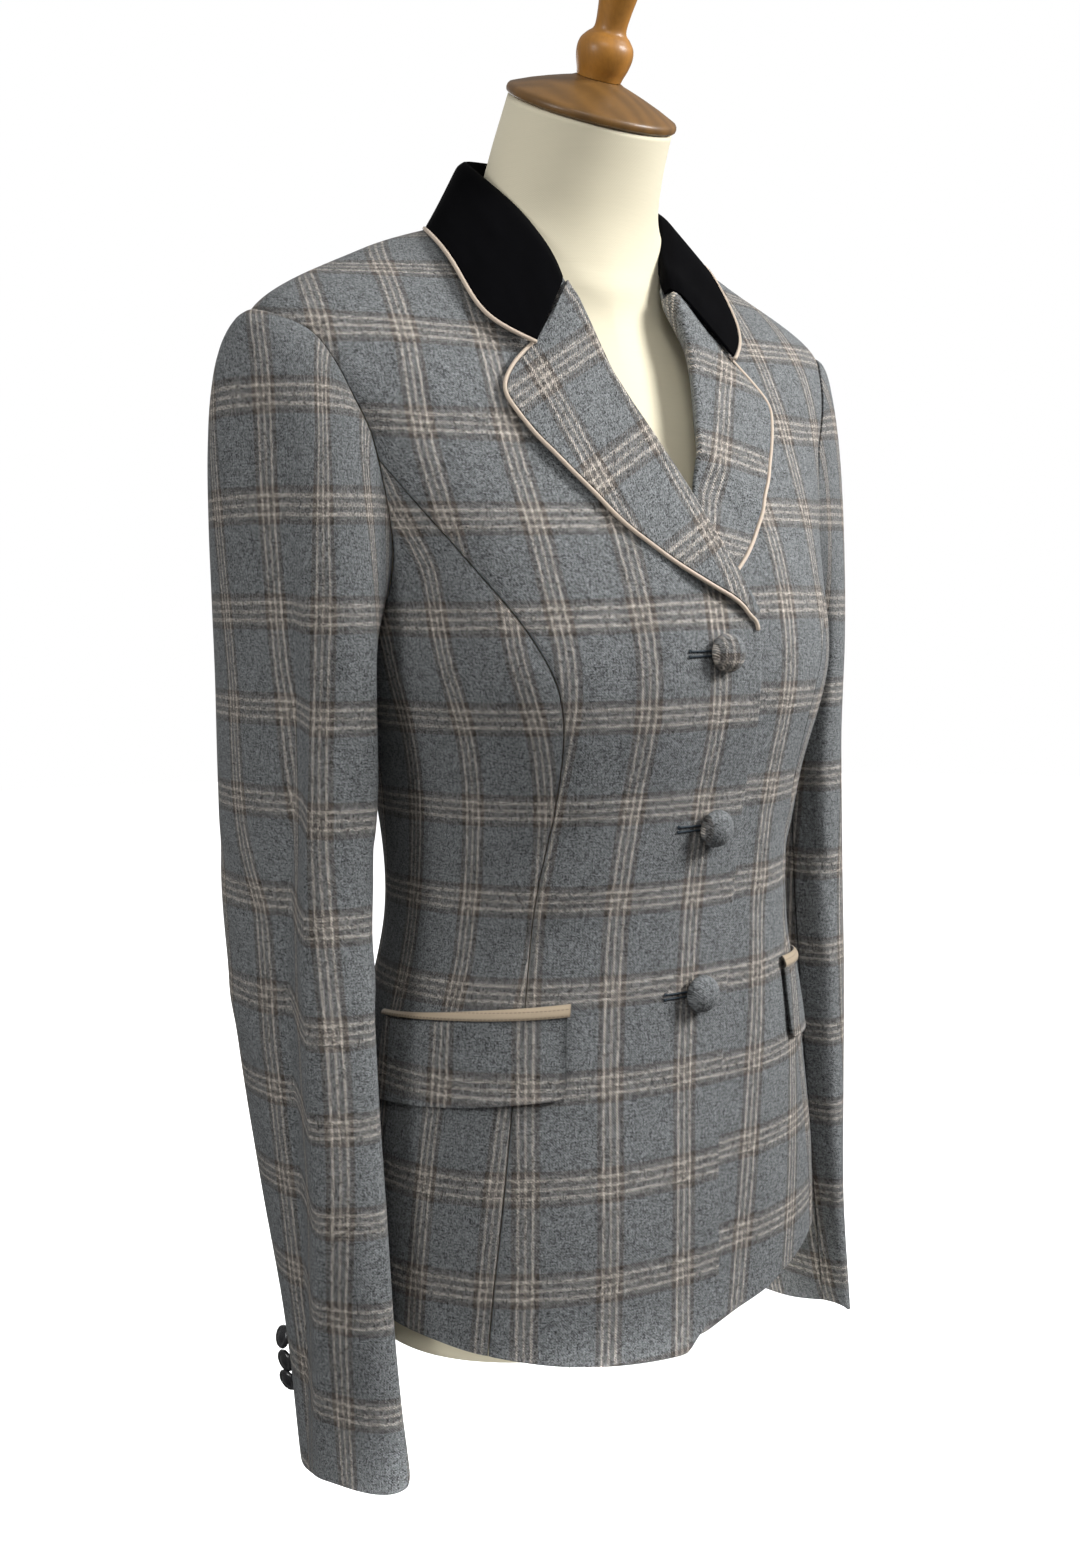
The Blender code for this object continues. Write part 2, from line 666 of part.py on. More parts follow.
def collar_piping():
    stations = [(-1, row) for row in COLLAR[::-1]] + [(1, row) for row in COLLAR[1:]]
    edges = [collar_point(side, row.along, 1) for side, row in stations]
    normals = [outward(row.edge_level, side * row.edge_angle) for side, row in stations]
    return cord("collar_piping", beside(edges, normals, -(PIPING + 2 * SEAM)), PIPING, "piping")


# Pockets


def pocket_point(side, pocket, along, down, out):
    front_angle = pocket.front_angle - pocket.slant * max(0.0, down) / pocket.depth
    angle = front_angle + (pocket.back_angle - front_angle) * along
    level = pocket.front_level + (pocket.back_level - pocket.front_level) * along - down
    return off_coat(level, side * angle, out)


def flap(side):
    name = "right" if side < 0 else "left"
    pocket = POCKETS[name]
    rows = []
    for v in (1, 0.66, 0.33, 0):
        row = []
        for u in (0, 0.04, 0.2, 0.36, 0.52, 0.68, 0.84, 1):
            rounded = 0.0035 if v == 1 and u in (0, 1) else 0.0
            swell = pocket.kick * v * v * ease(u, -0.1, 0.4) * (1 - ease(u, 0.4, 0.9))
            down = 0.0004 + pocket.depth * v - rounded
            row.append(pocket_point(side, pocket, u, down, 0.0018 + 0.0006 * v + swell))
        rows.append(row)
    return sheet("flap_" + name, rows, "plaid", flipped=side < 0, thickness=0.0018, offset=0)


def jet(side):
    name = "right" if side < 0 else "left"
    pocket = POCKETS[name]
    rows = []
    for v, out in ((0, 0.0017), (0.3, 0.0026), (0.7, 0.0026), (1, 0.0015)):
        down = -0.0008 - (JET - 0.0008) * v
        rows.append([pocket_point(side, pocket, -0.01 + 1.02 * u / 10, down, out) for u in range(11)])
    return sheet("pocket_jet_" + name, rows, "piping", flipped=side < 0, thickness=0.0016, offset=0)


# Buttons


def lathe(name, profile, finish, steps=14):
    """A turned piece about its own Z, from (radius, height) pairs with both ends on the axis."""
    mesh = bpy.data.meshes.new(name)
    points = [(radius, 0, height) for radius, height in profile]
    mesh.from_pydata(points, [(i, i + 1) for i in range(len(profile) - 1)], [])
    obj = added(name, mesh, finish)
    turned = obj.modifiers.new("Turned", "SCREW")
    turned.steps = steps
    turned.render_steps = steps
    turned.use_merge_vertices = True
    turned.merge_threshold = 0.00005
    turned.use_normal_flip = True
    return obj


def stood(obj, point, direction):
    obj.rotation_mode = "QUATERNION"
    obj.rotation_quaternion = direction.to_track_quat("Z", "Y")
    obj.location = point
    return obj


def front_button(number, level):
    angle = 0.5
    lift = layer(-1, level, 0) - (0.001 if number == 1 else 0.0)
    profile = (
        (0, 0.0006),
        (0.0035, 0.0006),
        (0.0035, 0.0030),
        (BUTTON_RADIUS - 0.0008, 0.0032),
        (BUTTON_RADIUS, 0.0048),
        (BUTTON_RADIUS - 0.0012, 0.0070),
        (BUTTON_RADIUS * 0.62, 0.0086),
        (0, 0.0094),
    )
    obj = lathe("front_button_%d" % number, profile, "plaid")
    return stood(obj, off_coat(level, angle, lift), outward(level, angle))


def cuff_button(side, number, height):
    name = "cuff_button_%s_%d" % ("right" if side < 0 else "left", number)
    turn = HIND_SEAM + 0.42 - 12
    point = sleeve_section(side, height, turn)
    along = sleeve_section(side, height, turn + 0.1) - sleeve_section(side, height, turn - 0.1)
    up = sleeve_section(side, height + 0.005, turn) - sleeve_section(side, height - 0.005, turn)
    direction = along.cross(up).normalized() * -side
    radius = CUFF_BUTTON_RADIUS
    profile = (
        (0, 0.0009),
        (0.0022, 0.0009),
        (0.0022, 0.0036),
        (radius - 0.0008, 0.0040),
        (radius, 0.0052),
        (radius - 0.0010, 0.0066),
        (0, 0.0074),
    )
    return stood(lathe(name, profile, "horn", steps=12), point, direction)


# Dress form and stand


def sunk(level, angle):
    """How much further in the form lies in front, under the left front and the lapels."""
    return 0.0045 * (1 - ease(abs(angle), 35, 75)) * ease(level, -0.25, -0.2)


def form():
    count = 36
    rings = []
    angles = [360 * i / count - 180 for i in range(count)]
    for level in FORM_LEVELS:
        inset = between(FORM, level)[0]
        rings.append([off_coat(level, angle, -inset - sunk(level, angle)) for angle in angles])
    inset = between(FORM, FORM_BOTTOM)[0]
    soft = [off_coat(FORM_BOTTOM + 0.006, angle, -inset) for angle in angles]
    foot = [off_coat(FORM_BOTTOM, angle, -inset - 0.002) for angle in angles]
    rings = [foot, soft] + rings
    for row in THROAT:
        ring = []
        for angle in angles:
            across, ahead = math.sin(math.radians(angle)), math.cos(math.radians(angle))
            tilt = math.radians(row.tilt)
            y = -row.forward - row.half_depth * ahead * math.cos(tilt)
            z = WAIST + row.height - row.half_depth * ahead * math.sin(tilt)
            ring.append(Vector((row.half_width * across, y, z)))
        rings.append(ring)
    points = [point for ring in rings for point in ring]
    faces = []
    for r in range(len(rings) - 1):
        for c in range(count):
            following = (c + 1) % count
            low, high = r * count, (r + 1) * count
            faces.append((low + c, low + following, high + following, high + c))
    faces.append(tuple(range(count))[::-1])
    faces.append(tuple((len(rings) - 1) * count + c for c in range(count)))
    mesh = bpy.data.meshes.new("dress_form")
    mesh.from_pydata(points, [], faces)
    return added("dress_form", mesh, "linen")


def neck_pieces():
    top = THROAT[-1]
    tilt = math.radians(top.tilt)
    direction = Vector((0, -math.sin(tilt), math.cos(tilt)))
    middle = Vector((0, -top.forward, WAIST + top.height))
    cap = (
        (0, 0.0006),
        (0.0495, 0.0006),
        (0.0515, 0.0030),
        (0.0505, 0.0062),
        (0.0300, 0.0142),
        (0.0140, 0.0198),
        (0, 0.0200),
    )
    stood(lathe("neck_cap", cap, "wood", steps=28), middle, direction)
    finial = (
        (0, 0.0203),
        (0.0140, 0.0203),
        (0.0130, 0.0232),
        (0.0160, 0.0295),
        (0.0166, 0.0350),
        (0.0135, 0.0415),
        (0.0094, 0.0465),
        (0.0100, 0.0560),
        (0.0120, 0.0690),
        (0.0120, 0.0790),
        (0.0085, 0.0850),
        (0.0120, 0.0900),
        (0.0150, 0.0980),
        (0.0120, 0.1060),
        (0, 0.1100),
    )
    stood(lathe("neck_finial", finial, "wood", steps=16), middle, direction)


def stand():
    post_top = WAIST + FORM_BOTTOM - 0.0003
    post = (
        (0, 0.0203),
        (0.0125, 0.0203),
        (0.0125, post_top - 0.0123),
        (0.0300, post_top - 0.0120),
        (0.0300, post_top),
        (0, post_top),
    )
    lathe("stand_post", post, "metal", steps=20)
    foot = (
        (0, 0),
        (0.150, 0),
        (0.1520, 0.0020),
        (0.1520, 0.0080),
        (0.1490, 0.0110),
        (0.0300, 0.0200),
        (0, 0.0200),
    )
    lathe("stand_foot", foot, "metal", steps=40)


clear_scene()
for hand in (-1, 1):
    word = "right" if hand < 0 else "left"
    front(hand)
    side_panel(hand)
    back(hand)
    sleeve_half(hand, "sleeve_top_" + word, HIND_SEAM - 12, FRONT_SEAM, 13)
    sleeve_half(hand, "sleeve_under_" + word, FRONT_SEAM, HIND_SEAM, 11)
    lapel(hand)
    lapel_piping(hand)
    flap(hand)
    jet(hand)
    for index, placed in enumerate(CUFF_BUTTON_HEIGHTS):
        cuff_button(hand, index + 1, placed)
for index, placed in enumerate(BUTTON_LEVELS):
    front_button(index + 1, placed)
collar()
collar_piping()
form()
neck_pieces()
stand()
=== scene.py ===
"""A lady's equestrian show coat on its dress form, tailored and finished over the packed solids.

Metres, +Z up, the front towards -Y and the wearer's right at -X. Heights in the tables are above the
coat's waist. Every cloth piece is a closed wall lofted through a net of points.
"""

import math
from collections import namedtuple

import bpy
import numpy as np
from bpy.props import FloatProperty, FloatVectorProperty, PointerProperty
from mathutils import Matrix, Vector


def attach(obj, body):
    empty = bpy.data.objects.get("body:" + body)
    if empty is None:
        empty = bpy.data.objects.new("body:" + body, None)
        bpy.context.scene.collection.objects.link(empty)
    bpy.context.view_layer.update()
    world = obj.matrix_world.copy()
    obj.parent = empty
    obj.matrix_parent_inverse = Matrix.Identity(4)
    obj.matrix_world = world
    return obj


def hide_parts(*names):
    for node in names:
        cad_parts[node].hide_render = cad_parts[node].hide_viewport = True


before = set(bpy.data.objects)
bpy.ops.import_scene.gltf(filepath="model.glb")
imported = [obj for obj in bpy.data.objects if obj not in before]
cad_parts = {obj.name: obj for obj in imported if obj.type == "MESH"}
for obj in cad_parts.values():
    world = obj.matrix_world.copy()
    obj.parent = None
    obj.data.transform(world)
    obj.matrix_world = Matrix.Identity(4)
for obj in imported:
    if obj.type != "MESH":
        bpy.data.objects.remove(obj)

bl_info = {
    "name": "Equestrian Show Coat",
    "version": (1, 0, 0),
    "blender": (4, 5, 0),
    "location": "3D View > Sidebar > Show Coat",
    "description": "Tailors a plaid show coat with a velvet collar on its dress form",
    "category": "Add Mesh",
}

WAIST = 0.56  # height of the waist above the floor
NECK = 0.44  # the level of the neck seam
SEAM = 0.0003  # the gap between two sewn pieces


# Sizes and colours


def size(name, description, default, **more):
    more = {"unit": "LENGTH", "precision": 5, **more}
    return FloatProperty(name=name, description=description, default=default, **more)


def shade(name, description, default):
    return FloatVectorProperty(
        name=name, description=description, default=default, subtype="COLOR", size=3, min=0, max=1
    )


class CoatSizes(bpy.types.PropertyGroup):
    cloth: size("Cloth", "Thickness of the coat's cloth", 0.002)
    facing: size("Facing", "Thickness of a lapel or a flap", 0.0017)
    velvet: size("Velvet", "Thickness of the velvet collar", 0.0018)
    piping: size("Piping", "Radius of the piped edge", 0.0012)
    seam_dip: size("Seam dip", "How deep a seam pulls the cloth in", 0.00052)
    across: size("Repeat across", "Distance between two lengthwise checks", 0.048)
    upward: size("Repeat up", "Distance between two cross checks", 0.0545)
    line_gap: size("Line gap", "Distance between the light lines of a check", 0.0041)
    line: size("Line", "Width of a light line", 0.0021)
    button: size("Button", "Radius of a covered front button", 0.0108)
    cuff_button: size("Cuff button", "Radius of a cuff button", 0.0070)
    buttonhole: size("Buttonhole", "Length of a front buttonhole", 0.020)
    creases: FloatProperty(name="Creases", description="Strength of the soft folds", default=1.0, min=0, max=3)


class CoatColours(bpy.types.PropertyGroup):
    ground: shade("Ground", "Blue-grey ground of the plaid", (0.152, 0.160, 0.164))
    line: shade("Line", "Light lines of the plaid", (0.415, 0.371, 0.323))
    taupe: shade("Taupe", "Yarn among and beside the light lines", (0.160, 0.140, 0.122))
    band: shade("Band", "Dark brown bands beside the light lines", (0.078, 0.066, 0.057))
    velvet: shade("Velvet", "Collar", (0.0022, 0.0022, 0.0027))
    piping: shade("Piping", "Satin piping of the lapels and collar", (0.55, 0.45, 0.355))
    pocket: shade("Pocket piping", "Satin strip above a flap", (0.41, 0.325, 0.225))
    thread: shade("Thread", "Buttonhole thread", (0.022, 0.034, 0.045))
    horn: shade("Cuff button", "Black cuff buttons", (0.006, 0.006, 0.008))
    linen: shade("Linen", "Cover of the dress form", (0.80, 0.735, 0.555))
    cap: shade("Neck cap", "Stained wood of the neck cap", (0.150, 0.074, 0.018))
    finial: shade("Finial", "Wood of the finial", (0.33, 0.145, 0.022))
    paint: shade("Stand", "Paint of the stand", (0.88, 0.88, 0.87))
    floor: shade("Floor", "Studio floor", (0.90, 0.90, 0.90))


def sizes():
    return bpy.context.scene.coat_sizes


def hand(side):
    """The wearer's hand on one side: -1 is the right, 1 the left."""
    return "right" if side < 0 else "left"


def colours():
    return bpy.context.scene.coat_colours


# The coat's outer face, ring by ring. Up to the bust a ring's level is its height; above, rings tilt.
Ring = namedtuple(
    "Ring", "level height front_rise back_rise half_width front back centre front_squareness back_squareness"
)
RINGS = (
    Ring(-0.28, -0.28, 0, 0, 0.156, 0.112, 0.128, 0, 2.2, 2.2),
    Ring(-0.17, -0.17, 0, 0, 0.153, 0.111, 0.121, 0, 2.25, 2.2),
    Ring(-0.08, -0.08, 0, 0, 0.1445, 0.109, 0.109, 0, 2.2, 2.2),
    Ring(0.00, 0.00, 0, 0, 0.1305, 0.112, 0.092, 0, 2.1, 2.1),
    Ring(0.07, 0.07, 0, 0, 0.135, 0.1215, 0.094, 0, 2.2, 2.2),
    Ring(0.14, 0.14, 0, 0, 0.151, 0.131, 0.104, 0, 2.4, 2.4),
    Ring(0.20, 0.20, 0, 0, 0.160, 0.122, 0.111, 0.001, 2.15, 2.4),
    Ring(0.27, 0.27, -0.007, -0.005, 0.178, 0.092, 0.108, 0.006, 2.2, 2.3),
    Ring(0.34, 0.3385, -0.038, -0.03, 0.204, 0.087, 0.094, 0.018, 1.6, 2.1),
    Ring(0.39, 0.3800, -0.024, -0.006, 0.135, 0.068, 0.070, 0.022, 1.35, 2.0),
    Ring(0.44, 0.402, -0.047, 0.003, 0.068, 0.047, 0.052, 0.0135, 1.65, 2.0),
)


def between(rows, at):
    """The other values of the rows at the given first value, on a smooth curve through all the rows."""
    table = np.array(rows, float)
    at = np.asarray(at, float)
    i = np.clip(np.searchsorted(table[:, 0], at, side="right") - 1, 0, len(table) - 2)
    low, high = table[i], table[i + 1]
    before, after = table[np.maximum(i - 1, 0)], table[np.minimum(i + 2, len(table) - 1)]
    span = (high - low)[..., :1]
    t = np.clip((at[..., None] - low[..., :1]) / span, 0, 1)
    rise = high - low
    start = (high - before) / (high - before)[..., :1] * span
    end = (after - low) / (after - low)[..., :1] * span
    found = low + t * start + t * t * (3 * rise - 2 * start - end) + t**3 * (start + end - 2 * rise)
    return np.moveaxis(found[..., 1:], -1, 0)


def softened(values, passes=1, axis=0):
    """Draws every row but the first and the last towards its neighbours, or with axis 1 every column."""
    values = np.moveaxis(values.copy(), axis, 0)
    for turn in range(passes):
        values[1:-1] = (values[:-2] + 2 * values[1:-1] + values[2:]) / 4
    return np.moveaxis(values, 0, axis)


def power(value, exponent):
    return np.sign(value) * np.abs(value) ** exponent


def unit(vectors):
    return vectors / np.maximum(np.linalg.norm(vectors, axis=-1, keepdims=True), 1e-12)


def stack(x, y, z):
    return np.stack(np.broadcast_arrays(x, y, z), -1).astype(float)


def ease(value, low, high):
    """0 below the low value, 1 above the high one, and smooth between."""
    t = np.clip((np.asarray(value, float) - low) / (high - low), 0, 1)
    return t * t * (3 - 2 * t)


def ring_at(level):
    return Ring(level, *between(RINGS, level))


def on_coat(level, angle):
    """Points of the coat's outer face: angle 0 is the centre front, +90 degrees the wearer's left side."""
    level, angle = np.broadcast_arrays(np.asarray(level, float), np.asarray(angle, float))
    height, front_rise, back_rise, half_width, front, back, centre, fore, hind = between(RINGS, level)
    across, ahead = np.sin(np.radians(angle)), np.cos(np.radians(angle))
    facing = ahead > 0
    depth, rise = np.where(facing, front, back), np.where(facing, front_rise, back_rise)
    exponent = 2 / np.where(facing, fore, hind)
    bent = power(ahead, exponent)
    ahead, up = centre - depth * bent, WAIST + height + rise * bent * bent
    return stack(half_width * power(across, exponent), ahead, up)


def angle_at(level, x):
    """The angle of the front's point that lies x from the centre line."""
    ring = ring_at(level)
    return np.degrees(np.arcsin(np.clip(power(x / ring.half_width, ring.front_squareness / 2), -1, 1)))


def outward(level, angle):
    along = on_coat(level, np.add(angle, 0.5)) - on_coat(level, np.subtract(angle, 0.5))
    above, below = np.minimum(np.add(level, 0.002), NECK), np.maximum(np.subtract(level, 0.002), RINGS[0].level)
    return unit(np.cross(along, on_coat(above, angle) - on_coat(below, angle)))


def off_coat(level, angle, out=0.0):
    return on_coat(level, angle) + outward(level, angle) * np.asarray(out, float)[..., None]


# Where the pieces end. Angles and distances across are measured from the centre front.
PRINCESS = (
    (-0.28, 0.124),
    (-0.20, 0.118),
    (-0.10, 0.107),
    (-0.035, 0.0967),
    (0.02, 0.0912),
    (0.08, 0.0868),
    (0.125, 0.0916),
    (0.16, 0.1054),
    (0.20, 0.127),
    (0.23, 0.1445),
    (0.257, 0.1598),
)
EDGE = ((-0.28, 0.0160), (-0.15, 0.0180), (0.00, 0.0280), (0.165, 0.0285))
ARMHOLE = (  # turn, level, angle: from the shoulder tip by the front and the underarm to the tip again
    (0.0, 0.342, 90),
    (0.5, 0.338, 76),
    (1.0, 0.330, 66),
    (1.5, 0.313, 62.5),
    (2.0, 0.292, 63.3),
    (3.0, 0.257, 65.7),
    (4.0, 0.205, 71.5),
    (5.0, 0.174, 81),
    (6.0, 0.163, 92),
    (7.0, 0.175, 103),
    (8.0, 0.205, 110),
    (9.0, 0.245, 112.5),
    (10.0, 0.290, 111.5),
    (11.0, 0.325, 105),
    (12.0, 0.342, 90),
)
SIDE_BACK = ((-0.28, 110), (-0.10, 113), (0.02, 116), (0.14, 114), (0.245, 112.5))
HEM = (  # angle and level, all round, as it hangs
    (-180, -0.232),
    (-110, -0.231),
    (-80, -0.234),
    (-49, -0.2445),
    (-29, -0.2525),
    (-2, -0.2595),
    (0, -0.2550),
    (5, -0.2490),
    (11, -0.2440),
    (31, -0.2300),
    (50, -0.2230),
    (110, -0.2250),
    (180, -0.232),
)
BASE = -0.26  # the level of the trunk's lowest row, before the hem's rise
HEM_FADE = 0.16  # how far up the hem's rise fades out
BREAK = 0.165  # the level where the lapel begins to roll
CORNER = 0.03  # radius of the fronts' lower corners
LOWER, UPPER = 9, 3  # lengths of a front's rows below and above the break
TRUNK_SEAM = math.degrees(SEAM / 2 / 0.13)  # half a seam's gap, as an angle round the trunk

ROLL_SHARE = 0.12  # how much of a lapel's width stands up to its roll
ROLL_RIM = TRUNK_SEAM * 0.13 / 0.15 * 2 + math.degrees(0.0013 / 0.15)  # how far inside the roll it starts
FOOT_COLUMNS = 5  # columns of a lapel's net in the part that stands up

# The roll of the lapel and the piped edge of its fall, from the gorge seam down to the break.
LAPEL = (  # along, roll's level and angle, stand, edge's level and angle, lift
    (0, 0.3849, 24.5, 0.0077, 0.3503, 26.6, 0.0050),
    (1, 0.3790, 22.3, 0.0074, 0.3380, 28.7, 0.0030),
    (2, 0.3720, 20.0, 0.0070, 0.3170, 29.7, 0.0030),
    (3, 0.3620, 16.8, 0.0065, 0.2965, 27.6, 0.0035),
    (4, 0.3480, 13.0, 0.0064, 0.2769, 25.3, 0.0040),
    (5, 0.3300, 9.5, 0.0075, 0.2629, 22.8, 0.0045),
    (6, 0.3060, 6.2, 0.0085, 0.2500, 20.6, 0.0045),
    (7, 0.2800, 3.9, 0.0095, 0.2381, 18.1, 0.0035),
    (8, 0.2580, 2.1, 0.0090, 0.2261, 16.0, 0.0035),
    (9, 0.2400, 0.7, 0.0075, 0.2130, 12.8, 0.0045),
    (10, 0.2220, -0.4, 0.0070, 0.1985, 7.4, 0.0065),
    (11, 0.2040, -2.6, 0.0070, 0.1866, 1.6, 0.0085),
    (12, 0.1860, -5.2, 0.0068, 0.1770, -3.4, 0.0080),
    (13, 0.1710, -7.3, 0.0062, 0.1690, -6.0, 0.0065),
)

COLLAR_FOLD = 0.3  # how much of the collar's width stands up to its fold

# The collar from the centre back to the gorge: its foot at the neck seam, its fold, and its piped edge.
COLLAR = (  # along, neck's level and angle, stand, lean, edge's level and angle, lift
    (0, 0.44, 180, 0.0450, 0, 0.418, 180, 0.0025),
    (1, 0.44, 160, 0.0445, 0, 0.420, 161, 0.0025),
    (2, 0.44, 138, 0.0420, 0, 0.425, 139, 0.0025),
    (3, 0.44, 118, 0.0395, 0, 0.4285, 116, 0.0025),
    (4, 0.44, 98, 0.0345, 0, 0.4245, 95, 0.0025),
    (5, 0.44, 80, 0.0275, 0, 0.4145, 77, 0.0025),
    (6, 0.44, 69.6, 0.0225, 0.1, 0.4045, 64, 0.0025),
    (7, 0.44, 61.0, 0.0200, 0.25, 0.3950, 56, 0.0025),
    (8, 0.44, 55.0, 0.0178, 0.4, 0.3810, 48, 0.0025),
    (9, 0.44, 49.2, 0.0153, 0.55, 0.3690, 42.5, 0.0025),
    (10, 0.4356, 42.9, 0.0139, 0.7, 0.3590, 38.3, 0.0025),
    (11, 0.4182, 33.5, 0.0129, 0.8, 0.3565, 35.4, 0.0028),
    (12, 0.3992, 27.5, 0.0092, 0.9, 0.3535, 31.3, 0.0040),
    (13, 0.3865, 24.9, 0.0053, 1, 0.3510, 27.0, 0.0050),
)

# The empty sleeve: a section at each height, flatter on the side that lies along the trunk.
SLEEVE = (  # height, across, back, inner, outer, half length
    (-0.321, 0.1690, -0.0050, 0.0110, 0.0265, 0.0575),
    (-0.24, 0.1710, 0.0035, 0.0125, 0.0300, 0.0555),
    (-0.16, 0.1730, 0.0125, 0.0160, 0.0370, 0.0580),
    (-0.08, 0.1745, 0.0220, 0.0185, 0.0425, 0.0615),
    (0.00, 0.1740, 0.0300, 0.0200, 0.0465, 0.0660),
    (0.08, 0.1690, 0.0340, 0.0175, 0.0490, 0.0740),
    (0.13, 0.1690, 0.0340, 0.0130, 0.0475, 0.0780),
)
LEFT_SHORTER = 0.021  # how much shorter the left sleeve hangs
CUFF_TILT = 0.005  # how far the cuff's hem rises in front and falls behind
FRONT_CORNER, CORNER_RAISED = 4.2, 0.011  # the turn where the cuff's front corner is rounded upwards
HIND_CORNER, CORNER_LOWERED = -0.9, 0.006  # the turn where the right cuff's back corner hangs lower
HEAD_ROWS, ARM_ROWS = 5, 8  # lengths of a sleeve's rows in its head and below it
FRONT_SEAM, HIND_SEAM = 4.5, 10.0  # the turns of a sleeve's two seams
FRONT_LINE = 1.6  # the turn that the sleeve's lengthwise checks are measured from
TURN_LENGTH, ROW_LENGTH = 0.026, 0.055  # about how long one turn and one row of a sleeve are

Pocket = namedtuple("Pocket", "front_angle back_angle front_level back_level depth slant kick")
POCKETS = {
    "right": Pocket(32.6, 90.0, -0.0492, -0.0590, 0.0475, 1.6, 0.0012),
    "left": Pocket(35.2, 90.0, -0.0430, -0.0530, 0.0460, 0.6, 0.0),
}
JET = 0.0055  # height of a satin strip above its flap
BUTTON_LEVELS = (0.150, 0.052, -0.045)  # of the front buttons
CUFF_BUTTON_HEIGHTS = (-0.2555, -0.2680, -0.2785)
CUFF_BUTTON_TILTS = (0.50, 0.30), (0.62, -0.06), (0.70, -0.20)  # how far each leans forwards and up

FORM = (  # level, and how far the dress form lies inside the coat's outer face
    (-0.28, 0.0070),
    (-0.10, 0.0075),
    (0.00, 0.0065),
    (0.20, 0.0070),
    (0.27, 0.0065),
    (0.31, 0.0085),
    (0.375, 0.0122),
    (0.44, 0.0075),
)
FORM_BOTTOM = -0.253  # the level of the dress form's lower edge
THROAT = (  # height, forward, half width, half depth, tilt
    (0.3930, -0.0150, 0.0545, 0.0440, 14),
    (0.4030, -0.0120, 0.0550, 0.0480, 15),
    (0.4180, -0.0080, 0.0542, 0.0515, 16),
    (0.4360, -0.0010, 0.0520, 0.0520, 18),
    (0.4530, 0.0080, 0.0504, 0.0510, 22),
    (0.4645, 0.0145, 0.0496, 0.0500, 26),
)

# The cloth's grain: how high up the cloth each height of the coat comes, eased in at the waist.
GRAIN_UP = (
    (-0.2655, -0.2725),
    (-0.2070, -0.2180),
    (-0.0919, -0.1090),
    (0.0140, 0.0000),
    (0.1192, 0.1090),
    (0.2306, 0.2180),
    (0.3470, 0.3270),
)
# How the checks lie on each piece: by level, where one lengthwise check falls, and how far the next is spread.
GRAIN_LINES = {
    "front_right": (
        (-0.25, -0.0118, 1.03),
        (-0.10, -0.0075, 1.02),
        (0.0, -0.0045, 1.0),
        (0.12, -0.0015, 0.93),
        (0.20, -0.0030, 0.98),
        (0.40, -0.0030, 1.0),
    ),
    "front_left": (
        (-0.25, 0.0330, 1.0),
        (-0.15, 0.0450, 1.0),
        (-0.05, 0.0550, 1.0),
        (0.05, 0.0550, 1.0),
        (0.15, 0.0600, 1.0),
        (0.40, 0.0640, 1.0),
    ),
    "side": (  # as the right one; the left one mirrors it
        (-0.25, 0.0185, 0.92),
        (-0.10, 0.0250, 0.90),
        (0.0, 0.0300, 0.88),
        (0.10, 0.0330, 0.86),
        (0.15, 0.0330, 0.86),
        (0.20, 0.0450, 0.86),
    ),
    "back": ((-0.25, 0.0, 1.0), (0.0, 0.0, 1.0), (0.44, 0.0, 1.0)),
}
LEFT_RAISED = (  # by level, how much higher the cross checks of the left front lie
    (-0.26, 0.0090),
    (-0.178, 0.0080),
    (-0.129, 0.0030),
    (-0.084, -0.0035),
    (-0.030, -0.0020),
    (0.023, 0.0020),
    (0.076, 0.0045),
    (0.160, 0.0060),
    (0.400, 0.0060),
)


# Cloth walls


ENDS = (0.00012, 0.0006, 0.0018)  # how far inside a piece's ends the rows lie that round them


def rounded_ends(net):
    """The net with thin rows or columns added inside each of its four ends, where the cloth's edge turns."""
    for axis in (0, 1):
        net = np.moveaxis(net, axis, 0)
        low, high = net[1] - net[0], net[-2] - net[-1]
        near = np.linalg.norm(low[..., :3], axis=-1, keepdims=True)
        far = np.linalg.norm(high[..., :3], axis=-1, keepdims=True)
        starts = [net[0] + low * np.minimum(step / np.maximum(near, 1e-9), 0.45) for step in ENDS]
        ends = [net[-1] + high * np.minimum(step / np.maximum(far, 1e-9), 0.45) for step in ENDS[::-1]]
        net = np.concatenate([net[:1], np.stack(starts), net[1:-1], np.stack(ends), net[-1:]])
        net = np.moveaxis(net, 0, axis)
    return net


def net_normals(points, flipped):
    """Normals of a net of points, from its rows and columns."""
    down = np.empty_like(points)
    down[1:-1] = points[2:] - points[:-2]
    down[0], down[-1] = points[3] - points[0], points[-1] - points[-4]
    along = np.empty_like(points)
    along[:, 1:-1] = points[:, 2:] - points[:, :-2]
    along[:, 0], along[:, -1] = points[:, 3] - points[:, 0], points[:, -1] - points[:, -4]
    return unit(np.cross(along, down)) * (-1 if flipped else 1)


def smoothed(values, passes=2):
    """Softens a net both ways."""
    for turn in range(passes):
        values = softened(softened(values), axis=1)
    return values


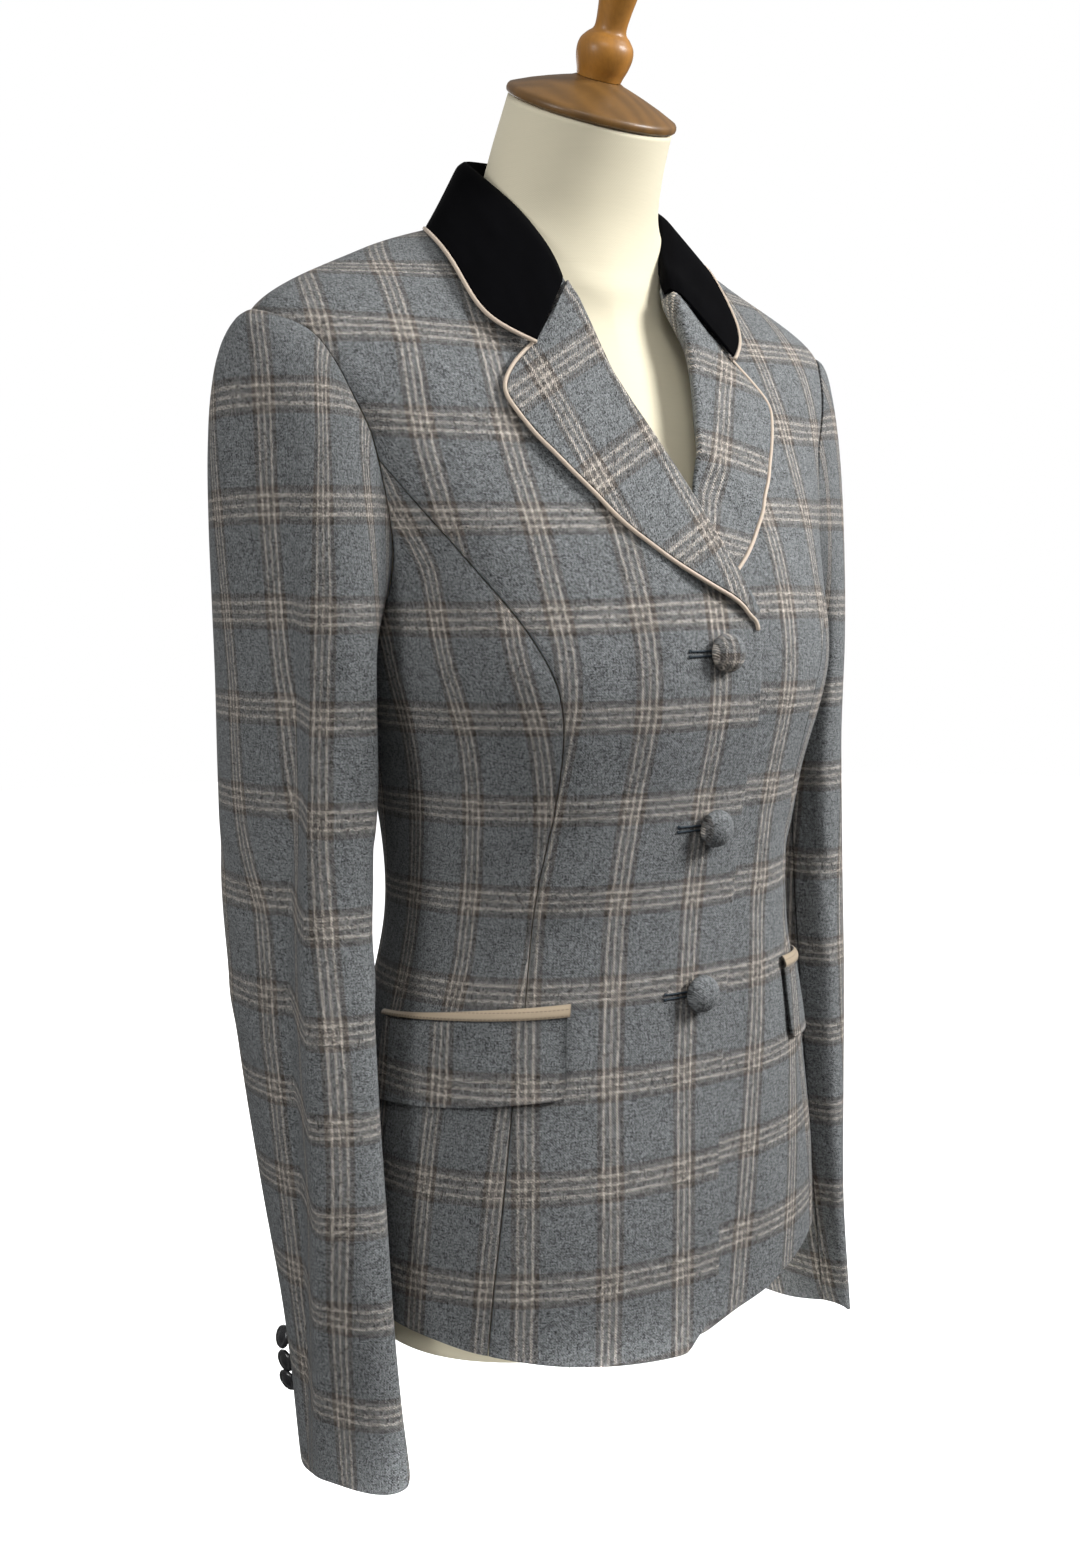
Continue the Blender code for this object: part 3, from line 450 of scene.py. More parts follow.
def cloth_wall(name, points, cloth, thickness, flipped=False, offset=0.0, sewn=(), seam_shade_width=0.0004):
    """A closed wall of cloth under a net of points, with its own flat map in metres.

    The offset is 0 where the points are the outer face, and 0.5 where they are the middle. The sewn sides
    of the net, of start, end, top and bottom, get the point attribute of a painted shade along that seam or
    edge, as strongly as the cloth's third value says.
    """
    net = rounded_ends(np.concatenate([points, cloth], -1))
    points, cloth = net[..., :3], net[..., 3:]
    across, down = measured(points, 1), measured(points, 0)
    away = {"start": across, "end": across[:, -1:] - across, "top": down, "bottom": down[-1:] - down}
    # Painted shade along the named sides, fading out away from them.
    seam_shade = np.zeros(points.shape[:2])
    for side in sewn:
        seam_shade = np.maximum(seam_shade, np.exp(-away[side] / seam_shade_width))
    if cloth.shape[-1] > 2:
        seam_shade, cloth = seam_shade * cloth[..., 2], cloth[..., :2]
    normals = net_normals(points, flipped)
    normals = unit(smoothed(normals, 1))
    rows, columns = points.shape[:2]
    edge = np.minimum(
        np.minimum(np.arange(rows)[:, None], np.arange(rows)[::-1, None]),
        np.minimum(np.arange(columns)[None], np.arange(columns)[::-1][None]),
    )
    share = np.select([edge == 0, edge == 1], [0.42, 0.78], 1.0)[..., None] * thickness / 2
    middle = points + normals * thickness * (offset - 0.5)
    corners = np.stack([middle + normals * share, middle - normals * share]).reshape(-1, 3)
    index = np.arange(rows * columns).reshape(rows, columns)
    inner = index + rows * columns
    quads = np.stack([index[:-1, :-1], index[:-1, 1:], index[1:, 1:], index[1:, :-1]], -1).reshape(-1, 4)
    faces = [quads, (quads + rows * columns)[:, ::-1]]
    for outer, under, turned in (
        (index[0], inner[0], True),
        (index[-1], inner[-1], False),
        (index[:, 0], inner[:, 0], False),
        (index[:, -1], inner[:, -1], True),
    ):
        strip = np.stack([outer[:-1], outer[1:], under[1:], under[:-1]], -1)
        faces.append(strip[:, ::-1] if turned else strip)
    faces = np.concatenate(faces)
    if flipped:
        faces = faces[:, ::-1]
    mesh = bpy.data.meshes.new(name)
    mesh.from_pydata(corners.tolist(), [], faces.tolist())
    flat = np.tile(cloth.reshape(-1, 2), (2, 1))
    layer = mesh.uv_layers.new(name="Cloth")
    layer.data.foreach_set("uv", flat[faces.reshape(-1)].astype(np.float32).reshape(-1))
    # The painted shade goes to the material as the seam attribute.
    seam = mesh.attributes.new("seam", "FLOAT", "POINT")
    seam.data.foreach_set("value", np.tile(seam_shade.reshape(-1), 2).astype(np.float32))
    mesh.shade_smooth()
    return placed(name, mesh)


def placed(name, mesh):
    obj = bpy.data.objects.new(name, mesh)
    bpy.context.scene.collection.objects.link(obj)
    return obj


def tube(name, line, radius, around=10):
    """A round cord along a line of points, closed at both ends, with a map round it and along it."""
    line = np.asarray(line, float)
    ahead = unit(np.gradient(line, axis=0))
    side = [unit(np.cross(ahead[0], (0.0, 0.3, 1.0)))]
    for direction in ahead[1:]:
        side.append(unit(side[-1] - direction * np.dot(side[-1], direction)))
    side = np.array(side)
    other = np.cross(ahead, side)
    turns = np.linspace(0, 2 * math.pi, around, endpoint=False)
    rings = line[:, None] + radius * (
        side[:, None] * np.cos(turns)[None, :, None] + other[:, None] * np.sin(turns)[None, :, None]
    )
    length = np.concatenate([[0], np.cumsum(np.linalg.norm(np.diff(line, axis=0), axis=1))])
    count = len(line)
    caps = [line[0] - ahead[0] * radius * 0.5, line[-1] + ahead[-1] * radius * 0.5]
    corners = np.concatenate([rings.reshape(-1, 3), caps])
    faces, flat = [], []
    for r in range(count - 1):
        for c in range(around):
            n = (c + 1) % around
            faces.append((r * around + c, r * around + n, (r + 1) * around + n, (r + 1) * around + c))
            for step, row in ((c, r), (c + 1, r), (c + 1, r + 1), (c, r + 1)):
                flat += [step / around * 2 * math.pi * radius, length[row]]
    for c in range(around):
        n = (c + 1) % around
        faces.append((n, c, count * around))
        faces.append(((count - 1) * around + c, (count - 1) * around + n, count * around + 1))
        flat += [0, 0] * 3 + [0, length[-1]] * 3
    mesh = bpy.data.meshes.new(name)
    mesh.from_pydata(corners.tolist(), [], faces)
    layer = mesh.uv_layers.new(name="Cloth")
    layer.data.foreach_set("uv", np.array(flat, np.float32))
    mesh.shade_smooth()
    return placed(name, mesh)


# Trunk


def seam_angle(width):
    return math.degrees(SEAM / 2 / width)


def princess(level):
    return angle_at(level, between(PRINCESS, level)[0])


def side_back(level):
    return between(SIDE_BACK, level)[0]


def armhole(turn):
    return between(ARMHOLE, turn)


def hung(side, level, angle, lift=0.0):
    """The levels after the hem's rise, which fades out above it and ends below the break of the lapel."""
    rise = between(HEM, np.clip(side * angle, -180, 180))[0] - BASE
    share = np.maximum(0.0, 1 - (level - BASE) / HEM_FADE)
    return np.where(level < BREAK, level + (rise + lift) * share, level)


def strung(ends, share):
    """Levels and angles between the two ends of each row: the outer level and angle, then the inner ones."""
    low, high = ends[:, None, :2], ends[:, None, 2:]
    found = low + (high - low) * np.reshape(share, (1, -1, 1))
    return found[..., 0], found[..., 1]


def roll(along):
    found = between(LAPEL, along)
    return found[0], found[1]


def layer(side, level, across):
    """How far a front lies off the coat's face where the fronts and the left lapel are stacked."""
    near = 1 - ease(across, 0.032, 0.062)
    return -0.0034 * near if side > 0 else 0.0042 * near * ease(level, 0.06, 0.118)


def middle_back(level, half_gap=0.0002):
    ring = ring_at(level)
    return 180 - np.degrees(np.arcsin((half_gap / ring.half_width) ** (ring.back_squareness / 2)))


def front_net(side):
    junction = float(between(ARMHOLE, 3.0)[0])
    rows = []
    parts = np.linspace(0, LOWER, 109), np.linspace(LOWER + 0.1, 12, 25), np.linspace(12.12, 18, 50)
    for q in np.concatenate(parts):
        if q <= LOWER:
            level = BASE + (BREAK - BASE) * q / LOWER
            outer = (level, princess(level) - TRUNK_SEAM)
            inner = (level, -angle_at(level, between(EDGE, level)[0]))
        elif q <= 12:
            share = (q - LOWER) / UPPER
            level = BREAK + (junction - BREAK) * share
            outer = (level, princess(level) - TRUNK_SEAM)
            start = (BREAK, -angle_at(BREAK, between(EDGE, BREAK)[0]))
            rolled = roll(13 - 3.9 * max(share, 0.09))
            mixed = min(1.0, share / 0.09)
            inner = tuple(start[i] + (rolled[i] - start[i]) * mixed for i in (0, 1))
        else:
            level, angle = armhole(3 - (q - 12) / 2)
            outer = (level, min(angle, 90 - seam_angle(0.2)))
            if q <= 16:
                inner = roll(np.interp(q, (12, 13, 14, 15, 16), (9.1, 7.3, 5.6, 3.9, 2.2)))
            else:
                start = roll(2.2)
                steps = (16, 16.33, 16.66, 17, 17.5, 18)
                inner = (
                    np.interp(q, steps, (start[0], 0.3865, 0.410, 0.433, NECK, NECK)),
                    np.interp(q, steps, (start[1], 24.3, 30, 41, 65, 90 - seam_angle(0.068))),
                )
        rows.append((*outer, *inner))
    ends = np.array([[float(value) for value in row] for row in rows])
    f = 1 - (1 - np.linspace(0, 1, 41)) ** 1.3
    level, angle = strung(ends, f)
    across = np.abs(on_coat(level, angle)[..., 0])
    edge = between(EDGE, level)[0]
    inside = np.maximum(0.0, CORNER - np.where(angle > 0, across + edge, edge - across))
    corner = CORNER - np.sqrt(np.maximum(0.0, CORNER**2 - inside**2))
    level = hung(side, level, angle, corner)
    if side > 0:
        angle = angle + neck_taken(level) * ease(f, 0.6, 1.0) * (level > BREAK)
    return level, side * angle, layer(side, level, across)


def side_net(side):
    f = np.linspace(0, 1, 43)[None]
    low_top = float(between(ARMHOLE, 3.0)[0])
    lower = (np.linspace(BASE, BREAK, 109) - BASE) / (low_top - BASE)
    fractions = np.concatenate([lower, np.linspace(lower[-1], 1, 25)[1:]])[:, None]
    top, top_angle = armhole(3 + 6 * f)
    front_end, back_end = princess(top) + TRUNK_SEAM, side_back(top) - TRUNK_SEAM
    share = np.where((f > 0) & (f < 1), (top_angle - front_end) / (back_end - front_end), f)
    level = BASE + (top - 0.0006 * ease(12 * np.minimum(f, 1 - f), 0, 1) - BASE) * fractions
    share = f + (share - f) * ease(level, 0.05, top)
    low, high = princess(level) + TRUNK_SEAM, side_back(level) - TRUNK_SEAM
    angle = low + (high - low) * share
    level = hung(side, level, angle)
    return level, side * angle, np.zeros_like(level)


def back_net(side):
    low_top, junction = float(between(ARMHOLE, 3.0)[0]), float(between(ARMHOLE, 9.0)[0])
    lower = (np.linspace(BASE, BREAK, 109) - BASE) / (low_top - BASE)
    fractions = np.concatenate([lower, np.linspace(lower[-1], 1, 25)[1:]])
    level = BASE + (junction - BASE) * fractions
    ends = [np.stack([level, side_back(level) + TRUNK_SEAM, level, middle_back(level)], -1)]
    q = np.linspace(0, 6, 50)[1:]
    top, angle = armhole(9 + q / 2)
    inner = np.interp(q, range(7), (junction, 0.29, 0.335, 0.38, NECK, NECK, NECK))
    shoulder = np.interp(q, (4, 5, 6), (179.8, 133, 90 + seam_angle(0.068)))
    inner_angle = np.where(q <= 4, middle_back(inner), shoulder)
    ends.append(np.stack([top, np.maximum(angle, 90 + seam_angle(0.2)), inner, inner_angle], -1))
    ends = np.concatenate(ends)
    level, angle = strung(ends, np.linspace(0, 1, 41))
    level = hung(side, level, angle)
    return level, side * angle, np.zeros_like(level)


def measured(points, axis):
    """Distances along the rows or columns of a net, from their first point."""
    steps = np.linalg.norm(np.diff(points, axis=axis), axis=-1)
    start = np.zeros_like(np.take(steps, [0], axis))
    return np.concatenate([start, np.cumsum(steps, axis)], axis)


class Girth:
    """Lengths over the coat's face: round it from the centre front, and up it from the waist."""

    def __init__(self):
        self.levels = np.linspace(-0.28, NECK, 145)
        self.angles = np.linspace(-180, 180, 181)
        points = on_coat(self.levels[:, None], self.angles[None])
        around = measured(points, 1)
        self.around = around - around[:, 90:91]
        up = measured(points, 0)
        waist = 56  # the row at level 0
        self.up = up - up[waist : waist + 1]

    def read(self, table, level, angle):
        i = np.clip((level - self.levels[0]) / (self.levels[1] - self.levels[0]), 0, len(self.levels) - 1.001)
        j = np.clip((angle + 180) / 2, 0, len(self.angles) - 1.001)
        low, left = i.astype(int), j.astype(int)
        s, t = i - low, j - left
        return (
            table[low, left] * (1 - s) * (1 - t)
            + table[low + 1, left] * s * (1 - t)
            + table[low, left + 1] * (1 - s) * t
            + table[low + 1, left + 1] * s * t
        )

    def place(self, level, angle):
        return self.read(self.around, level, angle), self.read(self.up, level, angle)


GIRTH = Girth()


def soft_rows(rows, at):
    """As between, but carried on straight past both ends."""
    table = np.array(rows, float)
    inside = between(rows, at)[0]
    first = (table[1, 1] - table[0, 1]) / (table[1, 0] - table[0, 0])
    last = (table[-1, 1] - table[-2, 1]) / (table[-1, 0] - table[-2, 0])
    at = np.asarray(at, float)
    return inside + np.minimum(at - table[0, 0], 0) * first + np.maximum(at - table[-1, 0], 0) * last


def trunk_cloth(kind, side, level, angle):
    """Where a point of the trunk lies on the flat cloth of its piece."""
    around, up = GIRTH.place(level, angle)
    if kind == "front":
        start, spread = between(GRAIN_LINES["front_" + hand(side)], level)
    else:
        start, spread = between(GRAIN_LINES[kind], level)
        start = -side * start
    if kind == "side":
        seams = [GIRTH.place(level, side * end(level))[0] for end in (princess, side_back)]
        around = around - (seams[0] + seams[1]) / 2
    elif kind == "back":
        around = around - GIRTH.place(level, np.full_like(level, side * 180.0))[0]
    up = soft_rows(GRAIN_UP, up)
    if kind == "front" and side > 0:
        up = up - between(LEFT_RAISED, level)[0]
    return np.stack([(around - start) / spread, up], -1)


# Soft folds of the trunk: from one place to another, as level and angle, with depth and half width.
Fold = namedtuple("Fold", "level angle level_to angle_to depth width")
TRUNK_FOLDS = (
    Fold(0.062, -26, 0.022, -62, -0.0013, 0.008),
    Fold(0.034, -18, 0.002, -54, 0.0011, 0.008),
    Fold(-0.004, -34, -0.028, -76, -0.0009, 0.009),
    Fold(0.056, 24, 0.018, 60, -0.0012, 0.009),
    Fold(0.022, 20, -0.012, 52, 0.0010, 0.009),
    Fold(0.225, -50, 0.150, -82, -0.0013, 0.010),
    Fold(0.240, -58, 0.196, -92, 0.0009, 0.008),
    Fold(0.222, 56, 0.156, 84, -0.0013, 0.010),
    Fold(0.300, -152, 0.222, -114, -0.0015, 0.012),
    Fold(0.292, 150, 0.208, 115, -0.0013, 0.012),
    Fold(0.004, -168, -0.034, -124, -0.0011, 0.010),
    Fold(0.012, 162, -0.022, 127, 0.0011, 0.010),
    Fold(0.040, 172, 0.020, 124, -0.0010, 0.009),
    Fold(-0.250, -150, -0.080, -158, 0.0016, 0.016),
    Fold(-0.250, 138, -0.080, 150, 0.0015, 0.016),
    Fold(-0.250, -20, -0.120, -16, 0.0012, 0.013),
    Fold(-0.250, -66, -0.140, -60, -0.0012, 0.015),
    Fold(-0.250, 58, -0.130, 53, 0.0012, 0.015),
    Fold(0.330, -60, 0.270, -40, -0.0012, 0.012),
    Fold(0.325, 58, 0.275, 40, -0.0011, 0.012),
)


def fold(across, up, start, end, shape, begins, ceases):
    """How far a fold from one place to another moves the cloth, softly at both of its ends."""
    (x0, y0), (x1, y1) = start, end
    length = math.hypot(x1 - x0, y1 - y0)
    along = ((across - x0) * (x1 - x0) + (up - y0) * (y1 - y0)) / length**2
    beside = ((across - x0) * (y1 - y0) - (up - y0) * (x1 - x0)) / length
    across_it = np.exp(-((beside / shape.width) ** 2))
    return shape.depth * across_it * ease(along, *begins) * (1 - ease(along, *ceases))


def folded(level, angle, folds):
    """How far the folds move each point of the trunk outwards."""
    around, up = GIRTH.place(level, angle)
    moved = np.zeros_like(level)
    for row in folds:
        start = GIRTH.place(np.array(row.level), np.array(row.angle))
        end = GIRTH.place(np.array(row.level_to), np.array(row.angle_to))
        moved += fold(around, up, start, end, row, (-0.25, 0.35), (0.65, 1.25))
    return moved * sizes().creases


TROUGH = 0.0024  # half width of a seam's trough


def seam_dip(points, ends):
    """The trough that a seam pulls beside each named end of the net's rows."""
    across = measured(points, 1)
    dip = np.zeros(across.shape)
    for end in ends:
        away = across if end == "start" else across[:, -1:] - across
        dip += np.exp(-((away / TROUGH) ** 2))
    return -sizes().seam_dip * dip


NETS = {  # each piece's net, and the ends of its rows that are sewn, which get a seam's dip and a painted shade
    "front": (front_net, ("start",)),
    "side": (side_net, ("start", "end")),
    "back": (back_net, ("start", "end")),
}


def trunk_piece(kind, side):
    name = kind + "_" + hand(side)
    net, seams = NETS[kind]
    level, angle, out = net(side)
    base = on_coat(level, angle)
    out = out + seam_dip(base, seams) + folded(level, angle, TRUNK_FOLDS)
    points = base + outward(level, angle) * out[..., None]
    flipped = {"front": side > 0, "side": side < 0, "back": side < 0}[kind]
    # How strongly the painted shade along the seams shows: less at the waist and high up the trunk.
    at_waist = ease(level, -0.05, -0.02) * (1 - ease(level, 0.03, 0.10))
    strength = 0.30 + 0.6 * (1 - ease(level, 0.22, 0.27)) - 0.45 * at_waist
    cloth = np.concatenate([trunk_cloth(kind, side, level, angle), strength[..., None]], -1)
    obj = cloth_wall(name + "_cloth", points, cloth, sizes().cloth, flipped, 0.0, seams)
    return finish_cloth(obj, name, plaid())


def dressed(obj, material, node=None):
    """Gives a piece its material and rides it on the body, over the solid that it replaces."""
    obj.data.materials.clear()
    obj.data.materials.append(material)
    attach(obj, "root")
    if node:
        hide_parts(node)
    return obj


def finish_cloth(obj, node, material):
    dressed(obj, material, node)
    return obj


# Sleeves


def near_turn(turn, place):
    """1 at one place round a sleeve, and 0 well away from it."""
    return np.exp(-(((np.mod(turn - place + 6, 12) - 6) / 1.1) ** 2))


def sleeve_section(side, height, turn):
    """Points round a hanging sleeve. Turns are twelfths: 0 outside, 3 in front, 6 along the trunk."""
    height, turn = np.broadcast_arrays(np.asarray(height, float), np.asarray(turn, float))
    across, back_of, inner, outer, half_length = between(SLEEVE, height)
    turned, hem = np.radians(turn * 30), -SLEEVE[0][0]
    if side > 0:
        outer = outer - (0.008 + 0.004 * ease(-height, 0.1, 0.3))
        height = height + LEFT_SHORTER * ease(-height, -0.05, hem)
    height = height + CUFF_TILT * np.sin(turned) * ease(-height, 0.2, hem)
    height = height + CORNER_RAISED * near_turn(turn, FRONT_CORNER) * ease(-height, 0.27, hem)
    if side < 0:
        height = height - CORNER_LOWERED * near_turn(turn, HIND_CORNER) * ease(-height, 0.27, hem)
    out = np.cos(turned) * np.where(np.cos(turned) > 0, outer, inner)
    return stack(side * (across + out), back_of - half_length * np.sin(turned), WAIST + height)


def armhole_start(side, turn):
    """Where the sleeve is sewn to the armhole's edge: a seam's gap off the cloth and past its edge."""
    level, angle = armhole(np.mod(turn, 12))
    after, before = armhole(np.mod(turn + 0.1, 12)), armhole(np.mod(turn - 0.1, 12))
    ahead = on_coat(after[0], side * after[1]) - on_coat(before[0], side * before[1])
    normal = outward(level, side * angle)
    into = unit(np.cross(ahead, normal)) * side
    return on_coat(level, side * angle) + (normal * 2 + into * 1.3) * SEAM


def sleeve_point(side, turn, row):
    """Points of the sleeve's outer face. Rows 0 to HEAD_ROWS are the head, from the armhole down."""
    turn, row = np.broadcast_arrays(np.asarray(turn, float), np.asarray(row, float))
    top, bottom = SLEEVE[-1][0], SLEEVE[0][0]
    share = np.maximum(row - HEAD_ROWS, 0) / ARM_ROWS
    arm = sleeve_section(side, top + (bottom - top) * share, turn)
    start, end = armhole_start(side, turn), sleeve_section(side, top, turn)
    length = np.linalg.norm(end - start, axis=-1, keepdims=True)
    over = (1 + np.cos(np.radians(turn * 30))) / 2
    outward_lead = 0.12 + (0.40 if side < 0 else 0.24) * over
    lead = stack(side * outward_lead, -0.1 * np.sin(np.radians(turn * 30)), over - 1)
    drop = unit(sleeve_section(side, top - 0.02, turn) - end)
    t = np.minimum(row / HEAD_ROWS, 1)[..., None]
    head = (
        start * (1 - 3 * t * t + 2 * t**3)
        + end * (3 * t * t - 2 * t**3)
        + lead * length * (t - 2 * t * t + t**3)
        + drop * length * (t**3 - t * t)
    )
    return np.where(row[..., None] >= HEAD_ROWS, arm, head)


# Soft folds of a sleeve: turn and row from one place to another, with depth and half width.
SleeveFold = namedtuple("SleeveFold", "turn row turn_to row_to depth width")
SLEEVE_FOLDS = {
    -1: (
        SleeveFold(1.55, 4.2, 1.35, 8.6, -0.0028, 0.0070),
        SleeveFold(1.35, 7.8, 0.95, 10.6, -0.0030, 0.0070),
        SleeveFold(1.00, 10.0, -0.45, 12.9, -0.0028, 0.0075),
        SleeveFold(2.05, 5.2, 1.85, 8.8, 0.0019, 0.0085),
        SleeveFold(1.85, 8.2, 1.40, 10.6, 0.0024, 0.0085),
        SleeveFold(1.45, 10.2, 0.10, 12.9, 0.0022, 0.0090),
        SleeveFold(-1.2, 6.5, 0.90, 7.3, -0.0013, 0.010),
        SleeveFold(-1.3, 8.0, 0.60, 8.6, 0.0012, 0.012),
        SleeveFold(0.6, 1.0, 0.9, 3.4, 0.0008, 0.012),
        SleeveFold(4.1, 6.4, 2.7, 7.3, -0.0015, 0.010),
        SleeveFold(4.3, 7.6, 2.9, 8.3, 0.0012, 0.010),
        SleeveFold(6.2, 6.0, 8.2, 7.4, -0.0015, 0.012),
        SleeveFold(9.6, 6.8, 8.0, 8.2, 0.0013, 0.012),
        SleeveFold(10.6, 2.2, 11.2, 5.0, -0.0012, 0.014),
    ),
    1: (
        SleeveFold(1.2, 4.6, 1.5, 9.4, -0.0020, 0.0080),
        SleeveFold(1.5, 8.8, 0.6, 12.9, -0.0018, 0.0090),
        SleeveFold(2.1, 5.6, 2.0, 9.6, 0.0014, 0.0100),
        SleeveFold(-1.0, 6.9, 1.0, 7.7, -0.0014, 0.010),
        SleeveFold(-1.4, 8.3, 0.4, 8.9, 0.0012, 0.012),
        SleeveFold(4.2, 6.8, 2.8, 7.6, -0.0014, 0.010),
        SleeveFold(3.9, 8.0, 2.7, 8.8, 0.0011, 0.010),
        SleeveFold(6.0, 6.4, 8.0, 7.7, -0.0014, 0.012),
        SleeveFold(9.8, 7.0, 8.2, 8.4, 0.0012, 0.012),
        SleeveFold(10.8, 2.0, 11.3, 4.6, -0.0012, 0.014),
    ),
}
# How the cloth lies on a sleeve: by row, how far one lengthwise check lies from the front line, where the long
# fold lies, how much cloth it takes up, and how far it lifts the checks behind it. The left sleeve has no
# such fold.
SLEEVE_GRAIN = (
    (0, -0.0179, -0.04, 0, 0),
    (1.5, 0.0068, -0.017, 0, 0),
    (3, 0.0116, -0.008, 0.01, 0.001),
    (4.8, 0.0098, -0.003, 0.024, 0.004),
    (6.2, 0.0104, -0.001, 0.036, 0.01),
    (7.2, 0.0142, -0.003, 0.0545, 0.015),
    (8.3, 0.0158, -0.0075, 0.0535, 0.018),
    (9.3, 0.013, -0.011, 0.0545, 0.02),
    (10.3, 0.006, -0.019, 0.057, 0.019),
    (11.3, -0.0035, -0.031, 0.058, 0.018),
    (13, -0.015, -0.06, 0.058, 0.01),
)
SLEEVE_UP = (  # length up the sleeve from the sleeve head's end, and up its cloth
    (-0.4063, -0.3815),
    (-0.2940, -0.2725),
    (-0.1864, -0.1635),
    (-0.1272, -0.1090),
    (-0.0677, -0.0545),
    (0.0439, 0.0545),
    (0.1623, 0.1635),
)


def sleeve_half(side, kind, first, last, columns):
    word = hand(side)
    name = kind + "_" + word
    gap, step, last_row = 0.008, 0.02, HEAD_ROWS + ARM_ROWS
    turn = np.linspace(first + gap, last - gap, columns + 1)[None]
    row = np.concatenate([np.linspace(0, HEAD_ROWS, 41), np.linspace(HEAD_ROWS, last_row, 111)[1:]])[:, None]
    base = sleeve_point(side, turn, row)
    around = sleeve_point(side, turn + step, row) - sleeve_point(side, turn - step, row)
    below, above = np.minimum(row + step, last_row), np.maximum(row - step, 0)
    down = sleeve_point(side, turn, below) - sleeve_point(side, turn, above)
    normal = unit(np.cross(around, down)) * side
    across, lengths = measured(base, 1), measured(base, 0)
    start = sleeve_point(side, np.linspace(FRONT_LINE, first + gap, 40)[None], row)
    from_middle = across + measured(start, 1)[:, -1:] * math.copysign(1, first - FRONT_LINE)
    above_arm = lengths[40:41] - lengths
    up = np.where(row <= HEAD_ROWS, above_arm, np.mean(above_arm, axis=1, keepdims=True))
    moved = np.zeros(base.shape[:2])
    around_it, down_it = np.broadcast_arrays(turn * TURN_LENGTH, row * ROW_LENGTH)
    for crease in SLEEVE_FOLDS[side]:
        start = crease.turn * TURN_LENGTH, crease.row * ROW_LENGTH
        end = crease.turn_to * TURN_LENGTH, crease.row_to * ROW_LENGTH
        moved += fold(around_it, down_it, start, end, crease, (-0.2, 0.3), (0.7, 1.2))
    moved = moved * sizes().creases + seam_dip(base, ("start", "end"))
    points = base + normal * moved[..., None]
    line, fold_at, taken, lifted = between(SLEEVE_GRAIN, row)
    if side > 0:
        taken, lifted = 0 * taken, 0 * lifted
    behind = (1 - ease(from_middle, fold_at - 0.0045, fold_at + 0.0045)) * ease(from_middle, -0.16, -0.10)
    up = soft_rows(SLEEVE_UP, up) - lifted * behind
    # How strongly the painted shade along the seams shows: faint at the top of the sleeve head.
    strength = 0.2 + 0.7 * ease(row + 0 * turn, 0.5, 4)
    cloth = np.stack([-side * (from_middle - line - taken * behind), up, strength], -1)
    obj = cloth_wall(name + "_cloth", points, cloth, sizes().cloth, side < 0, 0.0, ("start", "end", "top"))
    return finish_cloth(obj, name, plaid())


# Lapels and collar


def neck_taken(level):
    """How many degrees further round the left front's neckline lies, under its lapel."""
    return 4.6 * ease(level, 0.19, 0.25) * (1 - ease(level, 0.355, 0.385))


def lapel_point(side, along, share):
    """Points of the lapel's middle: share 0 is the foot of its roll, 1 its piped edge."""
    along, share = np.broadcast_arrays(np.asarray(along, float), np.asarray(share, float))
    roll_level, roll_angle, stand, edge_level, edge_angle, lift = between(LAPEL, along)
    stand = stand - (0.0030 if side < 0 else 0.0016) * (1 - ease(along, 0, 1.6))
    if side > 0:
        under = ease(along, 7.4, 8.8)
        stand = stand + (-0.0002 - stand) * under
        lift = lift + (-0.0012 - lift) * under
    foot_t = np.clip(share / ROLL_SHARE, 0, 1)
    t = np.clip((share - ROLL_SHARE) / (1 - ROLL_SHARE), 0, 1)
    level = roll_level + (edge_level - roll_level) * t
    angle = roll_angle - ROLL_RIM + (edge_angle - roll_angle + ROLL_RIM) * t
    if side < 0:
        level = level + 0.0014 * (1 - ease(along, 0, 1)) * (1 - ease(t, 0.3, 0.9))
    else:
        angle = angle + neck_taken(roll_level) * (0.28 * (1 - t) ** 2 + 0.72 * (1 - foot_t))
        level = level + 0.0045 * (1 - ease(along, 0, 2)) * np.exp(-(((t - 0.25) / 0.18) ** 2))
    under_front = layer(side, level, np.abs(on_coat(level, angle)[..., 0]))
    out = lift + (stand - lift) * (1 - t) ** 1.5 + 0.0008 * np.sin(math.pi * t)
    out = np.where(t > 0, np.maximum(out, under_front + 0.0016), out)
    foot = under_front - 0.001
    out = np.where(share < ROLL_SHARE, foot + (stand - foot) * foot_t, out)
    return off_coat(level, side * angle, out)


GRAIN_SHARE = 0.233  # the share of the lapel's width where its grain is laid
LapelGrain = namedtuple("LapelGrain", "line slant cross cross_slant spread")
LAPEL_GRAIN = {
    -1: LapelGrain(0.0026, -0.105, 0.0957, 0.17, 1.15),
    1: LapelGrain(0.0140, 0.126, 0.0989, -0.20, 1.134),
}


def lapel_cloth(side, points):
    """The straight grain of a lapel: along its roll, and square to that."""
    grain, foot = LAPEL_GRAIN[side], FOOT_COLUMNS
    high, low = lapel_point(side, 2, GRAIN_SHARE), lapel_point(side, 12, GRAIN_SHARE)
    along = unit(high - low)
    across = unit(np.cross(along, (0, -1.0, 0))) * side
    away, width = points - low, measured(points, 1)
    v, w = away @ along, away @ across
    w[:, :foot] = w[:, foot : foot + 1] - (width[:, foot : foot + 1] - width[:, :foot])
    v[:, :foot] = v[:, foot : foot + 1]
    across_cloth = w - grain.line - grain.slant * (v - 0.06)
    return np.stack([across_cloth, (v - grain.cross + grain.cross_slant * (w - 0.02)) / grain.spread], -1)


